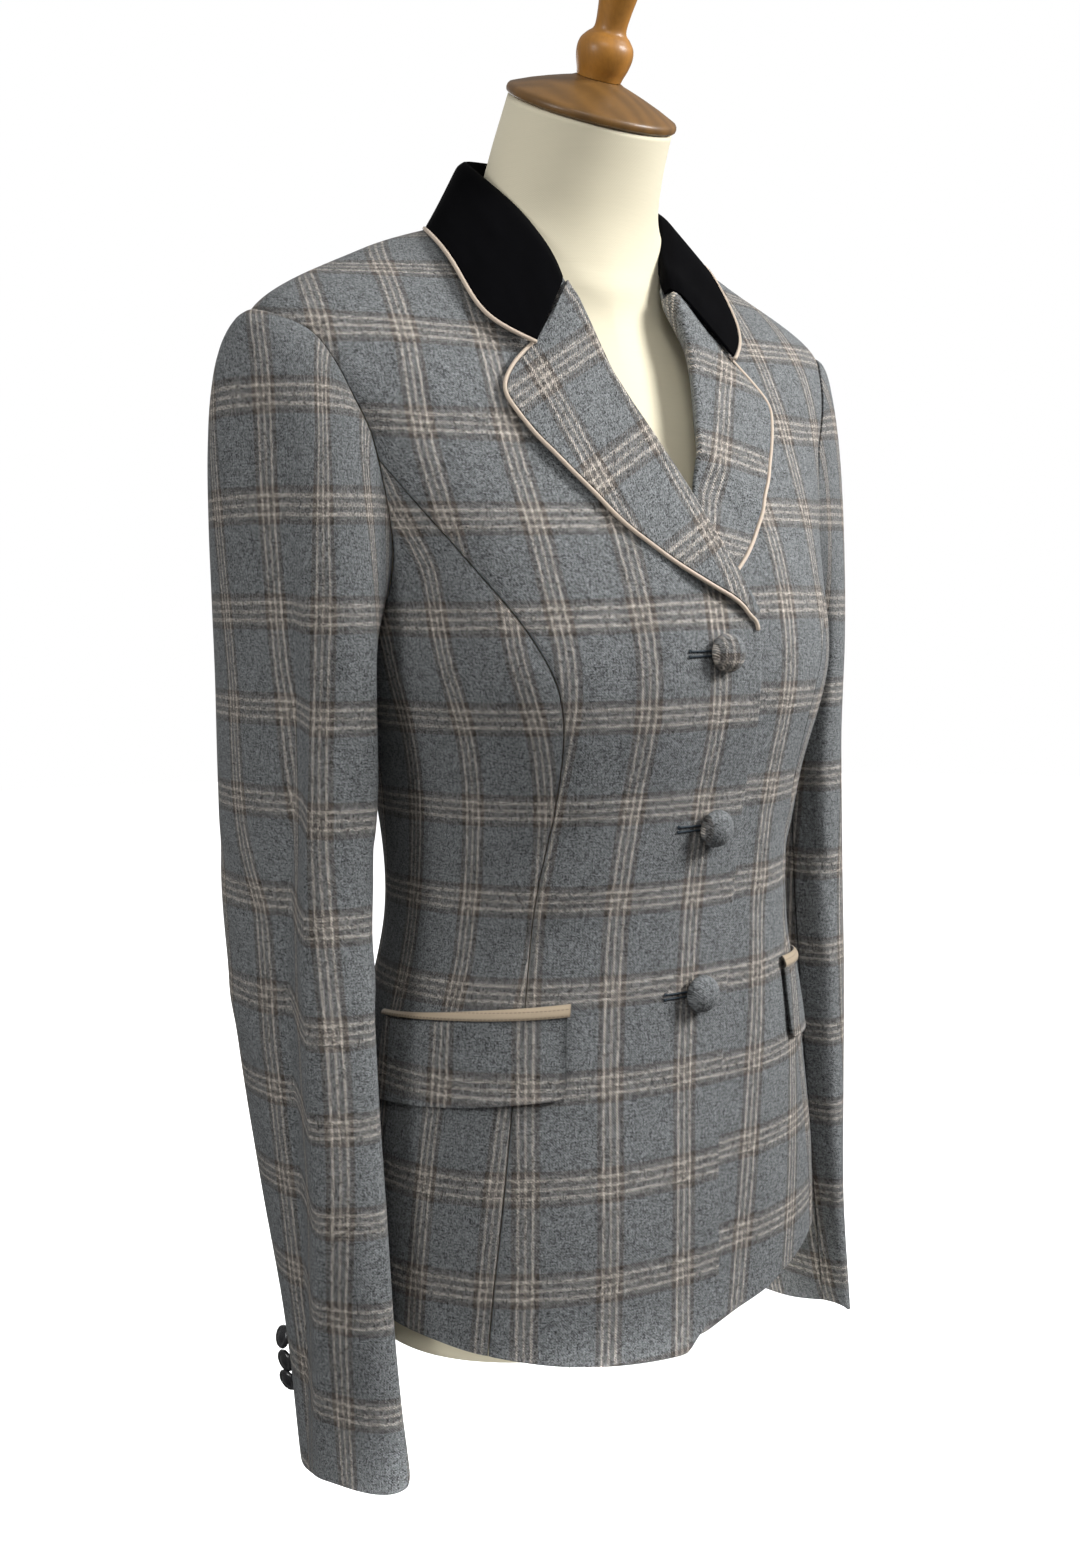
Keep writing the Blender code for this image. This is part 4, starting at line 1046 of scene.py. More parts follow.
def lapel(side):
    name = "lapel_" + hand(side)
    along = np.linspace(0, 13, 105)[:, None]
    foot = np.linspace(0, ROLL_SHARE, FOOT_COLUMNS + 1)
    share = np.concatenate([foot, np.linspace(ROLL_SHARE, 1, 30)[1:]])[None]
    points = lapel_point(side, along, share)
    near_roll = np.exp(-(((share - ROLL_SHARE) / 0.05) ** 2))[..., None]
    points = points + (softened(points, 6, axis=1) - points) * near_roll
    # The painted shade along the lapel's top edge shows at half strength.
    cloth = np.concatenate([lapel_cloth(side, points), np.full(points.shape[:2] + (1,), 0.5)], -1)
    obj = cloth_wall(name + "_cloth", points, cloth, sizes().facing, side < 0, 0.5, ("top",))
    return finish_cloth(obj, name, plaid())


def collar_point(side, along, share):
    """Points of the collar's middle: share 0 is its foot in the neck seam, 1 its piped edge."""
    side, along, share = np.broadcast_arrays(*(np.asarray(value, float) for value in (side, along, share)))
    neck_level, neck_angle, stand, lean, edge_level, edge_angle, lift = between(COLLAR, along)
    normal = outward(neck_level, side * neck_angle)
    up = unit(stack(0.0, 0.0, 1 - lean) + normal * lean[..., None])
    inward = unit(normal * np.array((-1.0, -1.0, 0.0)))
    foot = on_coat(neck_level, side * neck_angle) - normal * 0.001 + (inward + np.array((0, 0, 1.0))) * 0.0014
    slump = np.where(side > 0, ease(along, 0.5, 4.5) * (1 - ease(along, 9.5, 12.5)), 0.0)
    top = foot + up * (stand - 0.010 * slump)[..., None] - inward * (0.003 * slump)[..., None]
    rising = foot + (top - foot) * np.clip(share / COLLAR_FOLD, 0, 1)[..., None]
    t = np.clip((share - COLLAR_FOLD) / (1 - COLLAR_FOLD), 0, 1)
    edge = off_coat(edge_level + 0.006 * slump, side * edge_angle, lift)
    bow = outward(edge_level, side * edge_angle) * (0.0006 * np.sin(math.pi * t))[..., None]
    falling = top - inward * (0.0035 * ease(t, 0, 0.12))[..., None] + (edge - top) * t[..., None] + bow
    return np.where((share < COLLAR_FOLD)[..., None], rising, falling)


def collar_stations():
    """The stations along the collar, from the right gorge round the neck to the left one."""
    steps = np.linspace(0, 13, 85)
    side = np.concatenate([-np.ones(85), np.ones(84)])
    return side[:, None], np.concatenate([steps[::-1], steps[1:]])[:, None]


def collar_net():
    side, along = collar_stations()
    share = np.concatenate([np.linspace(0, COLLAR_FOLD, 10), np.linspace(COLLAR_FOLD, 1, 30)[1:]])[None]
    points = collar_point(side, along, share)
    points = points + (softened(points, 90) - points) * ease(share, 0.1, 0.28)[..., None]
    return smoothed(points, 3) * 0.5 + points * 0.5


def collar():
    points = collar_net()
    cloth = np.stack([measured(points, 1), measured(points, 0)], -1)
    obj = cloth_wall("collar_velvet", points, cloth, sizes().velvet, False, 0.5)
    return finish_cloth(obj, "collar", velvet())


def beside(edges, normals, distance):
    """Points beside an edge, in the plane of its sheet. A negative distance takes the other side."""
    aways = unit(np.cross(np.diff(edges, axis=0), normals[:-1] + normals[1:]))
    one, two = np.concatenate([aways[:1], aways]), np.concatenate([aways, aways[-1:]])
    return edges + (one + two) * (distance / (1 + np.sum(one * two, -1, keepdims=True)))


# The levels and angles that the right lapel's piping turns back through below the break, and its lift.
PIPING_TIP = (0.1675, 0.1655, 0.1635, 0.1615), (6.9, 7.2, 7.2, 7.0), 0.0058


def piping_piece(name, edges, normals, distance, tip=np.empty((0, 3))):
    """A piped edge, with the points of a loose tip at its end."""
    line = beside(edges, normals, distance)
    line = softened(np.concatenate([line, tip]), 4)
    return dressed(tube(name + "_satin", line, sizes().piping), piping(), name)


def lapel_piping(side):
    along = np.linspace(0, 13, 105)
    edge_level, edge_angle = between(LAPEL, along)[3:5]
    edges = lapel_point(side, along, 1.0)
    distance = -side * (sizes().piping + SEAM)
    tip = [off_coat(*(np.array(row) for row in PIPING_TIP))] if side < 0 else []
    piping_piece("lapel_piping_" + hand(side), edges, outward(edge_level, side * edge_angle), distance, *tip)


def collar_piping():
    side, along = (found[:, 0] for found in collar_stations())
    edge_level, edge_angle = between(COLLAR, along)[4:6]
    normals = outward(edge_level, side * edge_angle)
    piping_piece("collar_piping", collar_net()[:, -1], normals, -(sizes().piping + SEAM))


# Pockets


def pocket_point(side, pocket, along, down):
    """The level and angle of a point along a pocket, so far down from it."""
    front_angle = pocket.front_angle - pocket.slant * np.maximum(0.0, down) / pocket.depth
    angle = front_angle + (pocket.back_angle - front_angle) * along
    return pocket.front_level + (pocket.back_level - pocket.front_level) * along - down, side * angle


def flap(side):
    word = hand(side)
    pocket = POCKETS[word]
    u = np.linspace(0, 1, 49)[None]
    v = np.linspace(1, 0, 17)[:, None]
    corner, width = 0.008, 0.16
    inside = np.maximum(0.0, corner - np.minimum(u, 1 - u) * width)
    rounded = (corner - np.sqrt(corner**2 - inside**2)) * v**4
    kick = pocket.kick * v * v * ease(u, -0.1, 0.4) * (1 - ease(u, 0.4, 0.9))
    out = 0.0016 + 0.0003 * v + 0.0007 * v**3 + kick
    level, angle = pocket_point(side, pocket, u + 0 * v, 0.0004 + pocket.depth * v - rounded)
    points = off_coat(level, angle, out)
    cloth = trunk_cloth("front", side, level, angle)
    name = "flap_" + word + "_cloth"
    # A wide painted shadow along the flap's front edge.
    obj = cloth_wall(name, points, cloth, sizes().facing, side > 0, 0.5, ("start",), 0.0024)
    return finish_cloth(obj, "flap_" + word, plaid())


def jet(side):
    """The satin strip over a flap. It laps over the flap's front end and is thinner at the back."""
    name = "pocket_jet_" + hand(side)
    v = np.linspace(0, 1, 13)[:, None]
    u = np.linspace(0, 1, 81)[None]
    out = np.interp(v, (0, 0.12, 0.3, 0.7, 0.9, 1), (0.0032, 0.0034, 0.0035, 0.0029, 0.0022, 0.0014))
    low = 0.0020 * (1 - ease(u, 0, 0.7)) - 0.0008
    high = JET - 0.0026 * ease(u, 0.3, 1)
    level, angle = pocket_point(side, POCKETS[hand(side)], -0.01 + 1.02 * u, low - (high + low) * v)
    points = off_coat(level, angle, out + 0 * u)
    cloth = np.stack([measured(points, 1), measured(points, 0)], -1)
    # Painted shade round all four edges of the strip.
    sewn = ("start", "end", "top", "bottom")
    obj = cloth_wall(name + "_satin", points, cloth, 0.0016, side > 0, 0.5, sewn)
    return dressed(obj, pocket_satin(), name)


# Turned and pressed pieces


def start_circle(radius, place, direction, steps):
    bpy.ops.object.select_all(action="DESELECT")
    turn = Vector(direction).to_track_quat("Z", "Y").to_euler()
    bpy.ops.mesh.primitive_circle_add(
        vertices=steps, radius=radius, fill_type="NGON", location=tuple(place), rotation=tuple(turn)
    )
    bpy.ops.object.mode_set(mode="EDIT")
    bpy.ops.mesh.select_all(action="SELECT")
    return bpy.context.object


def turned(name, place, direction, profile, steps=48, sharp=35):
    """A turned piece, drawn up ring by ring from a disc through (radius, height) pairs."""
    direction = Vector(direction).normalized()
    radius, height = profile[0]
    obj = start_circle(radius, Vector(place) + direction * height, direction, steps)
    for new_radius, new_height in profile[1:]:
        bpy.ops.mesh.extrude_region_move(
            TRANSFORM_OT_translate={"value": tuple(direction * (new_height - height)), "orient_type": "GLOBAL"}
        )
        scale = new_radius / radius
        bpy.ops.transform.resize(value=(scale, scale, scale), orient_type="GLOBAL")
        radius, height = new_radius, new_height
    bpy.ops.mesh.select_all(action="SELECT")
    bpy.ops.mesh.normals_make_consistent(inside=False)
    bpy.ops.object.mode_set(mode="OBJECT")
    bpy.ops.object.transform_apply(location=True, rotation=True, scale=True)
    bpy.ops.object.shade_smooth_by_angle(angle=math.radians(sharp))
    obj.name = obj.data.name = name + "_turned"
    return obj


def rounded_profile(profile, steps=5):
    """A smooth curve of (radius, height) pairs through the given ones."""
    rows = [(i, *pair) for i, pair in enumerate(profile)]
    found = between(rows, np.linspace(0, len(profile) - 1, (len(profile) - 1) * steps + 1))
    return [(max(float(r), 0.0004), float(h)) for r, h in found.T]


def flat_map(obj, place, direction, shift=(0.0, 0.0)):
    """Maps a small piece as if a flat piece of the cloth were pressed over it, and paints shadow round its
    foot.
    """
    normal = np.array(direction, float)
    across = unit(np.cross((0, 0, 1.0), normal))
    up = np.cross(normal, across)
    mesh = obj.data
    layer = mesh.uv_layers.get("Cloth") or mesh.uv_layers.new(name="Cloth")
    points = np.empty(len(mesh.vertices) * 3)
    mesh.vertices.foreach_get("co", points)
    points = points.reshape(-1, 3) - np.array(place)
    index = np.empty(len(mesh.loops), int)
    mesh.loops.foreach_get("vertex_index", index)
    flat = np.stack([points @ across + shift[0], points @ up + shift[1]], -1)[index]
    layer.data.foreach_set("uv", flat.astype(np.float32).reshape(-1))
    # Painted shadow round the button's foot, fading out up its side.
    painted_foot_shadow = mesh.attributes.new("seam", "FLOAT", "POINT")
    painted_foot_shadow.data.foreach_set("value", 1 - ease(points @ normal, 0.0026, 0.0062))


BUTTON_PLACES = (0.0005, 0.0045, 0.0018)  # how far to the wearer's left of the centre each one is
DOME_TURNS = np.radians((12, 24, 36, 47, 57, 66, 74, 81, 87))
BUTTON_CLOTH = ((0.006, 0.010), (0.015, 0.028), (0.024, 0.020))


def front_button(number, level):
    radius = sizes().button
    lift = float(layer(-1, level, 0.0)) - (0.001 if number == 1 else 0.0)
    angle = float(angle_at(level, BUTTON_PLACES[number - 1]))
    place, direction = off_coat(level, angle, lift), outward(level, angle)
    shank = [(0.0035, 0.0006), (0.0035, 0.0022)]
    dome = [(radius - 0.0018, 0.0024), (radius - 0.0006, 0.0030), (radius, 0.0040), (radius, 0.0048)]
    dome += [(radius * math.cos(turn), 0.0048 + 0.0082 * math.sin(turn)) for turn in DOME_TURNS]
    obj = turned("front_button_%d" % number, place, direction, shank + dome, 40, 60)
    flat_map(obj, place, direction, BUTTON_CLOTH[number - 1])
    return finish_hard(obj, plaid())


def finish_hard(obj, material):
    return dressed(obj, material, obj.name.removesuffix("_turned"))


def cuff_place(side, height):
    turn = HIND_SEAM + 0.42 - 12
    place = sleeve_section(side, height, turn)
    along = sleeve_section(side, height, turn + 0.1) - sleeve_section(side, height, turn - 0.1)
    up = sleeve_section(side, height + 0.005, turn) - sleeve_section(side, height - 0.005, turn)
    return place, unit(np.cross(along, up)) * -side


def cuff_button(side, number, height):
    radius = sizes().cuff_button
    place, direction = cuff_place(side, height)
    forward, lean = CUFF_BUTTON_TILTS[number - 1]
    direction = unit(direction + np.array((0, -forward, lean)))
    profile = [
        (0.0024, 0.0006),
        (0.0024, 0.0018),
        (radius - 0.0016, 0.0020),
        (radius - 0.0004, 0.0026),
        (radius, 0.0034),
        (radius - 0.0002, 0.0042),
        (radius - 0.0009, 0.0050),
        (radius - 0.0018, 0.0052),
        (radius - 0.0026, 0.0048),
        (radius - 0.0036, 0.0052),
        (radius - 0.0048, 0.0058),
        (radius - 0.0060, 0.0061),
        (0.0003, 0.0062),
    ]
    name = "cuff_button_%s_%d" % (hand(side), number)
    return finish_hard(turned(name, place, direction, profile, 32, 50), horn())


def buttonhole(number, level):
    """A worked hole: stitches round a slit, with a bar at its far end."""
    length = sizes().buttonhole
    lift = float(layer(-1, level, 0.0)) + 0.0006
    line = []
    for turn in np.linspace(0, 2 * math.pi, 72):
        across = -math.cos(turn)
        half = 0.0013 * min(1.0, abs(math.sin(turn)) * 4) + 0.0008 * ease(-across, 0.86, 0.97)
        x = BUTTON_PLACES[number - 1] - 0.0035 - length / 2 * (1 - across)
        line.append(off_coat(level + math.copysign(half, math.sin(turn)), angle_at(level, x), lift))
    return dressed(tube("buttonhole_%d" % number, line, 0.00055, 8), thread())


# Dress form and stand


# Radius and height of the turned pieces, and for the plate the distance below its top.
CAP_PROFILE = (
    (0.0490, 0.0006), (0.0500, 0.0009), (0.0512, 0.0020), (0.0515, 0.0034), (0.0512, 0.0050),
    (0.0503, 0.0062), (0.0480, 0.0072), (0.0400, 0.0106), (0.0300, 0.0142), (0.0220, 0.0168),
    (0.0160, 0.0186), (0.0140, 0.0196), (0.0100, 0.0200),
)
FINIAL_PROFILE = (
    (0.0132, 0.0200), (0.0140, 0.0230), (0.0157, 0.0280), (0.0167, 0.0340), (0.0158, 0.0392),
    (0.0128, 0.0432), (0.0095, 0.0470), (0.0098, 0.0560), (0.0116, 0.0690), (0.0120, 0.0790),
    (0.0085, 0.0850), (0.0120, 0.0900), (0.0150, 0.0980), (0.0120, 0.1060), (0.0010, 0.1100),
)
PLATE_PROFILE = (0.0125, 0.0133), (0.0140, 0.0125), (0.0280, 0.0120), (0.0300, 0.0100), (0.0300, 0)
FOOT_PROFILE = (
    (0.1490, 0.0), (0.1505, 0.0003), (0.1518, 0.0014), (0.1520, 0.0030), (0.1520, 0.0075),
    (0.1512, 0.0095), (0.1492, 0.0110), (0.1200, 0.0134), (0.0900, 0.0156), (0.0600, 0.0178),
    (0.0300, 0.0200), (0.0200, 0.0200),
)


def sunk(level, angle):
    """How much further the form's front lies inside the coat."""
    return 0.0045 * (1 - ease(np.abs(angle), 35, 75)) * ease(level, -0.25, -0.2)


def smooth_throat(points, angles):
    """The form's chest runs up into its throat in one easy curve, most of all at the front."""
    height = points[..., 2].mean(axis=1, keepdims=True) - WAIST
    in_front = 1 - ease(np.abs(angles)[None], 60, 120) * 0.6
    share = ease(height, 0.33, 0.385) * (1 - ease(height, 0.425, 0.452)) * in_front
    return points + (softened(points, 60) - points) * share[..., None]


def dress_form():
    count = 120
    angles = np.linspace(-180, 180, count, endpoint=False)
    rings = []
    foot_inset = float(between(FORM, FORM_BOTTOM)[0])
    rise = 0.016 * ease(angles, -25, 15) * (1 - ease(angles, 75, 120))
    for down, extra in ((0.0, 0.0080), (0.0002, 0.0050), (0.0012, 0.0026), (0.0030, 0.0010), (0.006, 0.0)):
        rings.append(off_coat(FORM_BOTTOM + down + rise, angles, -foot_inset - extra))
    for level in np.linspace(-0.24, 0.412, 132):
        level = np.maximum(level, FORM_BOTTOM + rise + 0.007 + 0.01 * (level + 0.24))
        inset = between(FORM, level)[0]
        rings.append(off_coat(level, angles, -inset - sunk(level, angles)))
    across, ahead = np.sin(np.radians(angles)), np.cos(np.radians(angles))
    for height in np.linspace(THROAT[0][0], THROAT[-1][0], 26):
        forward, half_width, half_depth, tilt = between(THROAT, height)
        turn = np.radians(tilt)
        rings.append(
            stack(
                half_width * across,
                -forward - half_depth * ahead * np.cos(turn),
                WAIST + height - half_depth * ahead * np.sin(turn),
            )
        )
    points = smooth_throat(np.array(rings), angles)
    total = len(rings)
    index = np.arange(total * count).reshape(total, count)
    following = np.roll(index, -1, 1)
    faces = np.stack([index[:-1], following[:-1], following[1:], index[1:]], -1).reshape(-1, 4).tolist()
    faces.append(index[0][::-1].tolist())
    faces.append(index[-1].tolist())
    mesh = bpy.data.meshes.new("dress_form")
    mesh.from_pydata(points.reshape(-1, 3).tolist(), [], faces)
    mesh.shade_smooth()
    return dressed(placed("dress_form_cover", mesh), linen(), "dress_form")


def neck_pieces():
    height, forward, *_, tilt = THROAT[-1]
    direction = Vector((0, -math.sin(math.radians(tilt)), math.cos(math.radians(tilt))))
    middle = Vector((0, -forward, WAIST + height))
    cap = turned("neck_cap", middle, direction, CAP_PROFILE, 96, 30)
    finish_hard(cap, wood("Cap wood", colours().cap))
    finial = turned("neck_finial", middle, direction, rounded_profile(FINIAL_PROFILE), 64, 40)
    finish_hard(finial, wood("Finial wood", colours().finial))


def stand():
    top = WAIST + FORM_BOTTOM - 0.0003
    plate = [(radius, top - down) for radius, down in PLATE_PROFILE]
    post = turned("stand_post", (0, 0, 0), (0, 0, 1), [(0.0125, 0.0203), *plate], 64, 30)
    finish_hard(post, paint())
    foot = turned("stand_foot", (0, 0, 0), (0, 0, 1), FOOT_PROFILE, 128, 30)
    finish_hard(foot, paint())


# Finishes


def worked(operation, reflected=False):
    """A way to work out a value, with others, in one Math node. Reflected, the value comes last."""

    def work(self, *others):
        operands = (*others, self) if reflected else (self, *others)
        node = self.finish.add("ShaderNodeMath", {"operation": operation}, dict(enumerate(operands)))
        return Value(self.finish, node.outputs[0])

    return work


class Value:
    """A number in a material. Sums written with it add the Math nodes that work them out."""

    def __init__(self, finish, socket):
        self.finish, self.socket = finish, socket

    __add__ = __radd__ = worked("ADD")
    __mul__ = __rmul__ = worked("MULTIPLY")
    __sub__, __rsub__ = worked("SUBTRACT"), worked("SUBTRACT", reflected=True)
    __truediv__, __rtruediv__ = worked("DIVIDE"), worked("DIVIDE", reflected=True)
    __pow__, __rpow__ = worked("POWER"), worked("POWER", reflected=True)
    __abs__, sine, most = worked("ABSOLUTE"), worked("SINE"), worked("MAXIMUM")
    whole, fraction, below, between = worked("FLOOR"), worked("FRACT"), worked("LESS_THAN"), worked("WRAP")

    def wrapped(self, period):
        """The distance from the nearest whole number of periods."""
        return self.between(period / 2, -period / 2)

    def smooth(self, low, high):
        """0 below the low value and 1 above the high one, smooth between."""
        settings = {"interpolation_type": "SMOOTHSTEP"}
        inputs = {"Value": self, "From Min": low, "From Max": high}
        return Value(self.finish, self.finish.add("ShaderNodeMapRange", settings, inputs).outputs[0])


class Finish:
    """A material, and the making of its nodes."""

    def __init__(self, name, **constants):
        self.material = bpy.data.materials.new(name)
        self.material.use_nodes = True
        self.tree = self.material.node_tree
        self.shader = self.tree.nodes["Principled BSDF"]
        for socket, value in constants.items():
            self.shader.inputs[socket.replace("_", " ")].default_value = value

    def add(self, kind, settings=None, inputs=None):
        node = self.tree.nodes.new(kind)
        for name, value in (settings or {}).items():
            setattr(node, name, value)
        for key, value in (inputs or {}).items():
            self.join(value, node.inputs[key])
        return node

    def join(self, value, socket):
        if isinstance(value, Value):
            value = value.socket
        if isinstance(value, bpy.types.NodeSocket):
            self.tree.links.new(value, socket)
        elif hasattr(value, "__len__") and len(value) == 3 and socket.type == "RGBA":
            socket.default_value = (*value, 1)
        else:
            socket.default_value = value

    def flat(self):
        """Across and up the piece's own cloth, in metres."""
        place = self.add("ShaderNodeUVMap", {"uv_map": "Cloth"}).outputs[0]
        apart = self.add("ShaderNodeSeparateXYZ", None, {0: place})
        return Value(self, apart.outputs[0]), Value(self, apart.outputs[1])

    def seam(self):
        """How much painted shade lies on the cloth: 1 at a seam, an edge or a button's foot, and 0 away from
        them.
        """
        return Value(self, self.add("ShaderNodeAttribute", {"attribute_name": "seam"}).outputs["Fac"])

    def solid(self):
        """The place in the object, in metres."""
        place = self.add("ShaderNodeTexCoord").outputs["Object"]
        apart = self.add("ShaderNodeSeparateXYZ", None, {0: place})
        return [Value(self, socket) for socket in apart.outputs]

    def point(self, x, y, z=0.0):
        return self.add("ShaderNodeCombineXYZ", None, {0: x, 1: y, 2: z}).outputs[0]

    def noise(self, place, detail, roughness=0.5):
        inputs = {"Vector": place, "Scale": 1.0, "Detail": detail, "Roughness": roughness}
        return Value(self, self.add("ShaderNodeTexNoise", None, inputs).outputs["Fac"])

    def mix(self, factor, first, second):
        inputs = {"Factor": factor, 6: first, 7: second}
        return self.add("ShaderNodeMix", {"data_type": "RGBA"}, inputs).outputs[2]

    def shaded(self, colour, amount):
        """The colour made lighter or darker by a value about 1."""
        return self.add("ShaderNodeVectorMath", {"operation": "SCALE"}, {0: colour, "Scale": amount}).outputs[0]

    def bump(self, height, distance, strength):
        inputs = {"Height": height, "Distance": distance, "Strength": strength}
        return self.add("ShaderNodeBump", None, inputs).outputs[0]

    def done(self, colour, roughness, normal=None):
        for name, value in (("Base Color", colour), ("Roughness", roughness), ("Normal", normal)):
            if value is not None:
                self.join(value, self.shader.inputs[name])
        return self.material


def known(maker):
    """Makes a finish once and gives the same one again."""
    kept = {}

    def again(*values):
        key = tuple(str(value) for value in values)
        if key not in kept:
            kept[key] = maker(*values)
        return kept[key]

    return again


def check(position, period, gap, line, middle_share, beside):
    """The light lines, and the dark bands between and beside them, of a plaid's check in one direction."""
    away = abs(position.wrapped(period))
    half = line / 2
    middle = 1 - away.smooth(half - 0.0004, half + 0.0002)
    outer = 1 - abs(away - gap).smooth(half - 0.0004, half + 0.0002)
    between_lines = 1 - abs(away - gap / 2).smooth(0.0006, 0.0012)
    flank = 1 - abs(away - gap - beside).smooth(0.0007, 0.0017)
    inside = 1 - away.smooth(gap + beside, gap + beside + 0.0014)
    return (middle * middle_share).most(outer), (between_lines * 0.2).most(flank), inside


def grain(finish, yarn, stretch):
    """One number from 0 to 1 for each stretch of each yarn."""
    place = finish.point(yarn, stretch)
    node = finish.add("ShaderNodeTexWhiteNoise", {"noise_dimensions": "2D"}, {"Vector": place})
    return Value(finish, node.outputs["Value"])


@known
def plaid():
    """Two up, two down twill of mixed yarns: the warp runs up the cloth, the weft across it."""
    finish = Finish("Plaid wool", Sheen_Weight=0.05, Sheen_Roughness=0.5, Specular_IOR_Level=0.16)
    tones, cut = colours(), sizes()
    across, up = finish.flat()
    wander = finish.noise(finish.point(across * 30, up * 30), 2.0) - 0.5
    warp_line, warp_band, warp_inside = check(
        across + wander * 0.0008, cut.across, cut.line_gap, cut.line * 0.85, 0.8, 0.0026
    )
    weft_line, weft_band, weft_inside = check(
        up + wander * 0.0008, cut.upward, cut.line_gap * 1.14, cut.line, 0.85, 0.0038
    )
    pitch, repeat = 0.00036, 0.00144  # of the yarns, and of four of them
    thick, long = 0.00070, 0.0030  # the size of a slub
    warp_yarn, weft_yarn = (across / pitch).whole(), (up / pitch).whole()
    rise, run = up / repeat + warp_yarn / 4, across / repeat + weft_yarn / 4
    warp_on_top = rise.fraction().below(0.5)
    cloudy = finish.noise(finish.point(across * 22, up * 22), 3.0)
    speck = grain(finish, (across / thick).whole(), (up / thick).whole() + 300)
    warp_slub = grain(finish, (across / thick).whole(), (up / long + warp_yarn * 0.17).whole() + 400)
    weft_slub = grain(finish, (across / long + weft_yarn * 0.17).whole() + 800, (up / thick).whole())
    mixed = (cloudy - 0.5) * 0.16 + speck * 0.95 - 0.14
    warp_fibre = grain(finish, warp_yarn, (rise * 2).whole())
    warp_mix = (mixed + 0.06 + warp_fibre * 0.5 + warp_slub * 0.83).most(0.15)
    weft_fibre = grain(finish, (run * 2).whole() + 900, weft_yarn)
    weft_mix = (mixed - 0.06 + weft_fibre * 0.5 + weft_slub * 0.83).most(0.15)
    ground, taupe, band, line = tuple(tones.ground), tuple(tones.taupe), tuple(tones.band), tuple(tones.line)
    warp_ground = finish.mix(warp_inside * 0.5, ground, taupe)
    warp = finish.mix(warp_line, finish.mix(warp_band * 0.9, warp_ground, band), line)
    weft_ground = finish.mix(weft_inside * 0.8, ground, taupe)
    weft = finish.mix(weft_line, finish.mix(weft_band, weft_ground, band), line)
    colour = finish.mix(warp_on_top, finish.shaded(weft, weft_mix), finish.shaded(warp, warp_mix))
    # Painted shade along seams and edges, and round the foot of a covered button.
    colour = finish.shaded(colour, 1 - finish.seam() * 0.72)
    relief = (rise * (2 * math.pi)).sine() + (warp_mix + weft_mix) * 0.8
    return finish.done(colour, 0.82 + warp_mix * 0.1, finish.bump(relief, 0.00015, 0.5))


@known
def velvet():
    finish = Finish("Velvet", Sheen_Weight=0.015, Sheen_Roughness=0.4, Specular_IOR_Level=0.02)
    across, up = finish.flat()
    pile = finish.noise(finish.point(across * 2600, up * 2600), 2.0)
    brushed = finish.noise(finish.point(across * 60, up * 25), 3.0)
    colour = finish.shaded(tuple(colours().velvet), 0.5 + brushed * 1.1)
    return finish.done(colour, 0.92 + pile * 0.08, finish.bump(pile + brushed * 2, 0.0003, 0.5))


@known
def piping():
    finish = Finish("Piping satin", Sheen_Weight=0.2, Specular_IOR_Level=0.45)
    around, along = finish.flat()
    thread_line = ((along + around * 0.7) * (2 * math.pi / 0.00045)).sine() * 0.5 + 0.5
    tone = finish.noise(finish.point(around * 300, along * 45), 2.0)
    colour = finish.shaded(tuple(colours().piping), 0.86 + thread_line * 0.10 + tone * 0.16)
    return finish.done(colour, 0.42 + tone * 0.18, finish.bump(thread_line, 0.00006, 0.6))


@known
def pocket_satin():
    finish = Finish("Pocket satin", Sheen_Weight=0.2, Specular_IOR_Level=0.45)
    along, across = finish.flat()
    weave = ((along * 0.8 + across) * (2 * math.pi / 0.00042)).sine() * 0.5 + 0.5
    tone = finish.noise(finish.point(along * 60, across * 500), 3.0)
    edge = abs(across - 0.0026)
    stitch_line = 1 - abs(edge - 0.0017).smooth(0.00016, 0.00034)
    stitches = stitch_line * (1 - abs(along.wrapped(0.0024)).smooth(0.0007, 0.0009))
    colour = finish.shaded(tuple(colours().pocket), 0.84 + weave * 0.12 + tone * 0.2)
    colour = finish.mix(stitches * 0.5, colour, (0.10, 0.075, 0.055))
    # Painted shade round the strip's edges.
    colour = finish.shaded(colour, 1 - finish.seam() * 0.9)
    return finish.done(colour, 0.40 + tone * 0.2, finish.bump(weave * 0.3 - stitches, 0.00016, 0.7))


@known
def thread():
    finish = Finish("Buttonhole thread", Specular_IOR_Level=0.35)
    along = finish.flat()[1]
    stitch = (along * (2 * math.pi / 0.0005)).sine() * 0.5 + 0.5
    colour = finish.shaded(tuple(colours().thread), 0.6 + stitch * 0.8)
    return finish.done(colour, 0.5 + stitch * 0.2, finish.bump(stitch, 0.00012, 0.8))


@known
def horn():
    finish = Finish("Black horn", Coat_Weight=0.5, Coat_Roughness=0.08, Specular_IOR_Level=0.6)
    x, y, z = finish.solid()
    streaks = finish.noise(finish.point(x * 500, y * 500, z * 160), 4.0, 0.6)
    colour = finish.shaded(tuple(colours().horn), 0.5 + streaks * 1.2)
    return finish.done(colour, 0.16 + streaks * 0.22, finish.bump(streaks, 0.0003, 0.5))


@known
def linen():
    finish = Finish("Form linen", Sheen_Weight=0.1, Specular_IOR_Level=0.25)
    x, y, z = finish.solid()
    weave = (x * (2 * math.pi / 0.0011)).sine() * (z * (2 * math.pi / 0.0011)).sine() * 0.5 + 0.5
    slub = finish.noise(finish.point(x * 60, y * 60, z * 900), 2.0)
    cloudy = finish.noise(finish.point(x * 14, y * 14, z * 14), 3.0)
    colour = finish.shaded(tuple(colours().linen), 0.93 + weave * 0.03 + slub * 0.05 + (cloudy - 0.5) * 0.06)
    return finish.done(colour, 0.78 + slub * 0.12, finish.bump(weave + slub, 0.00012, 0.4))


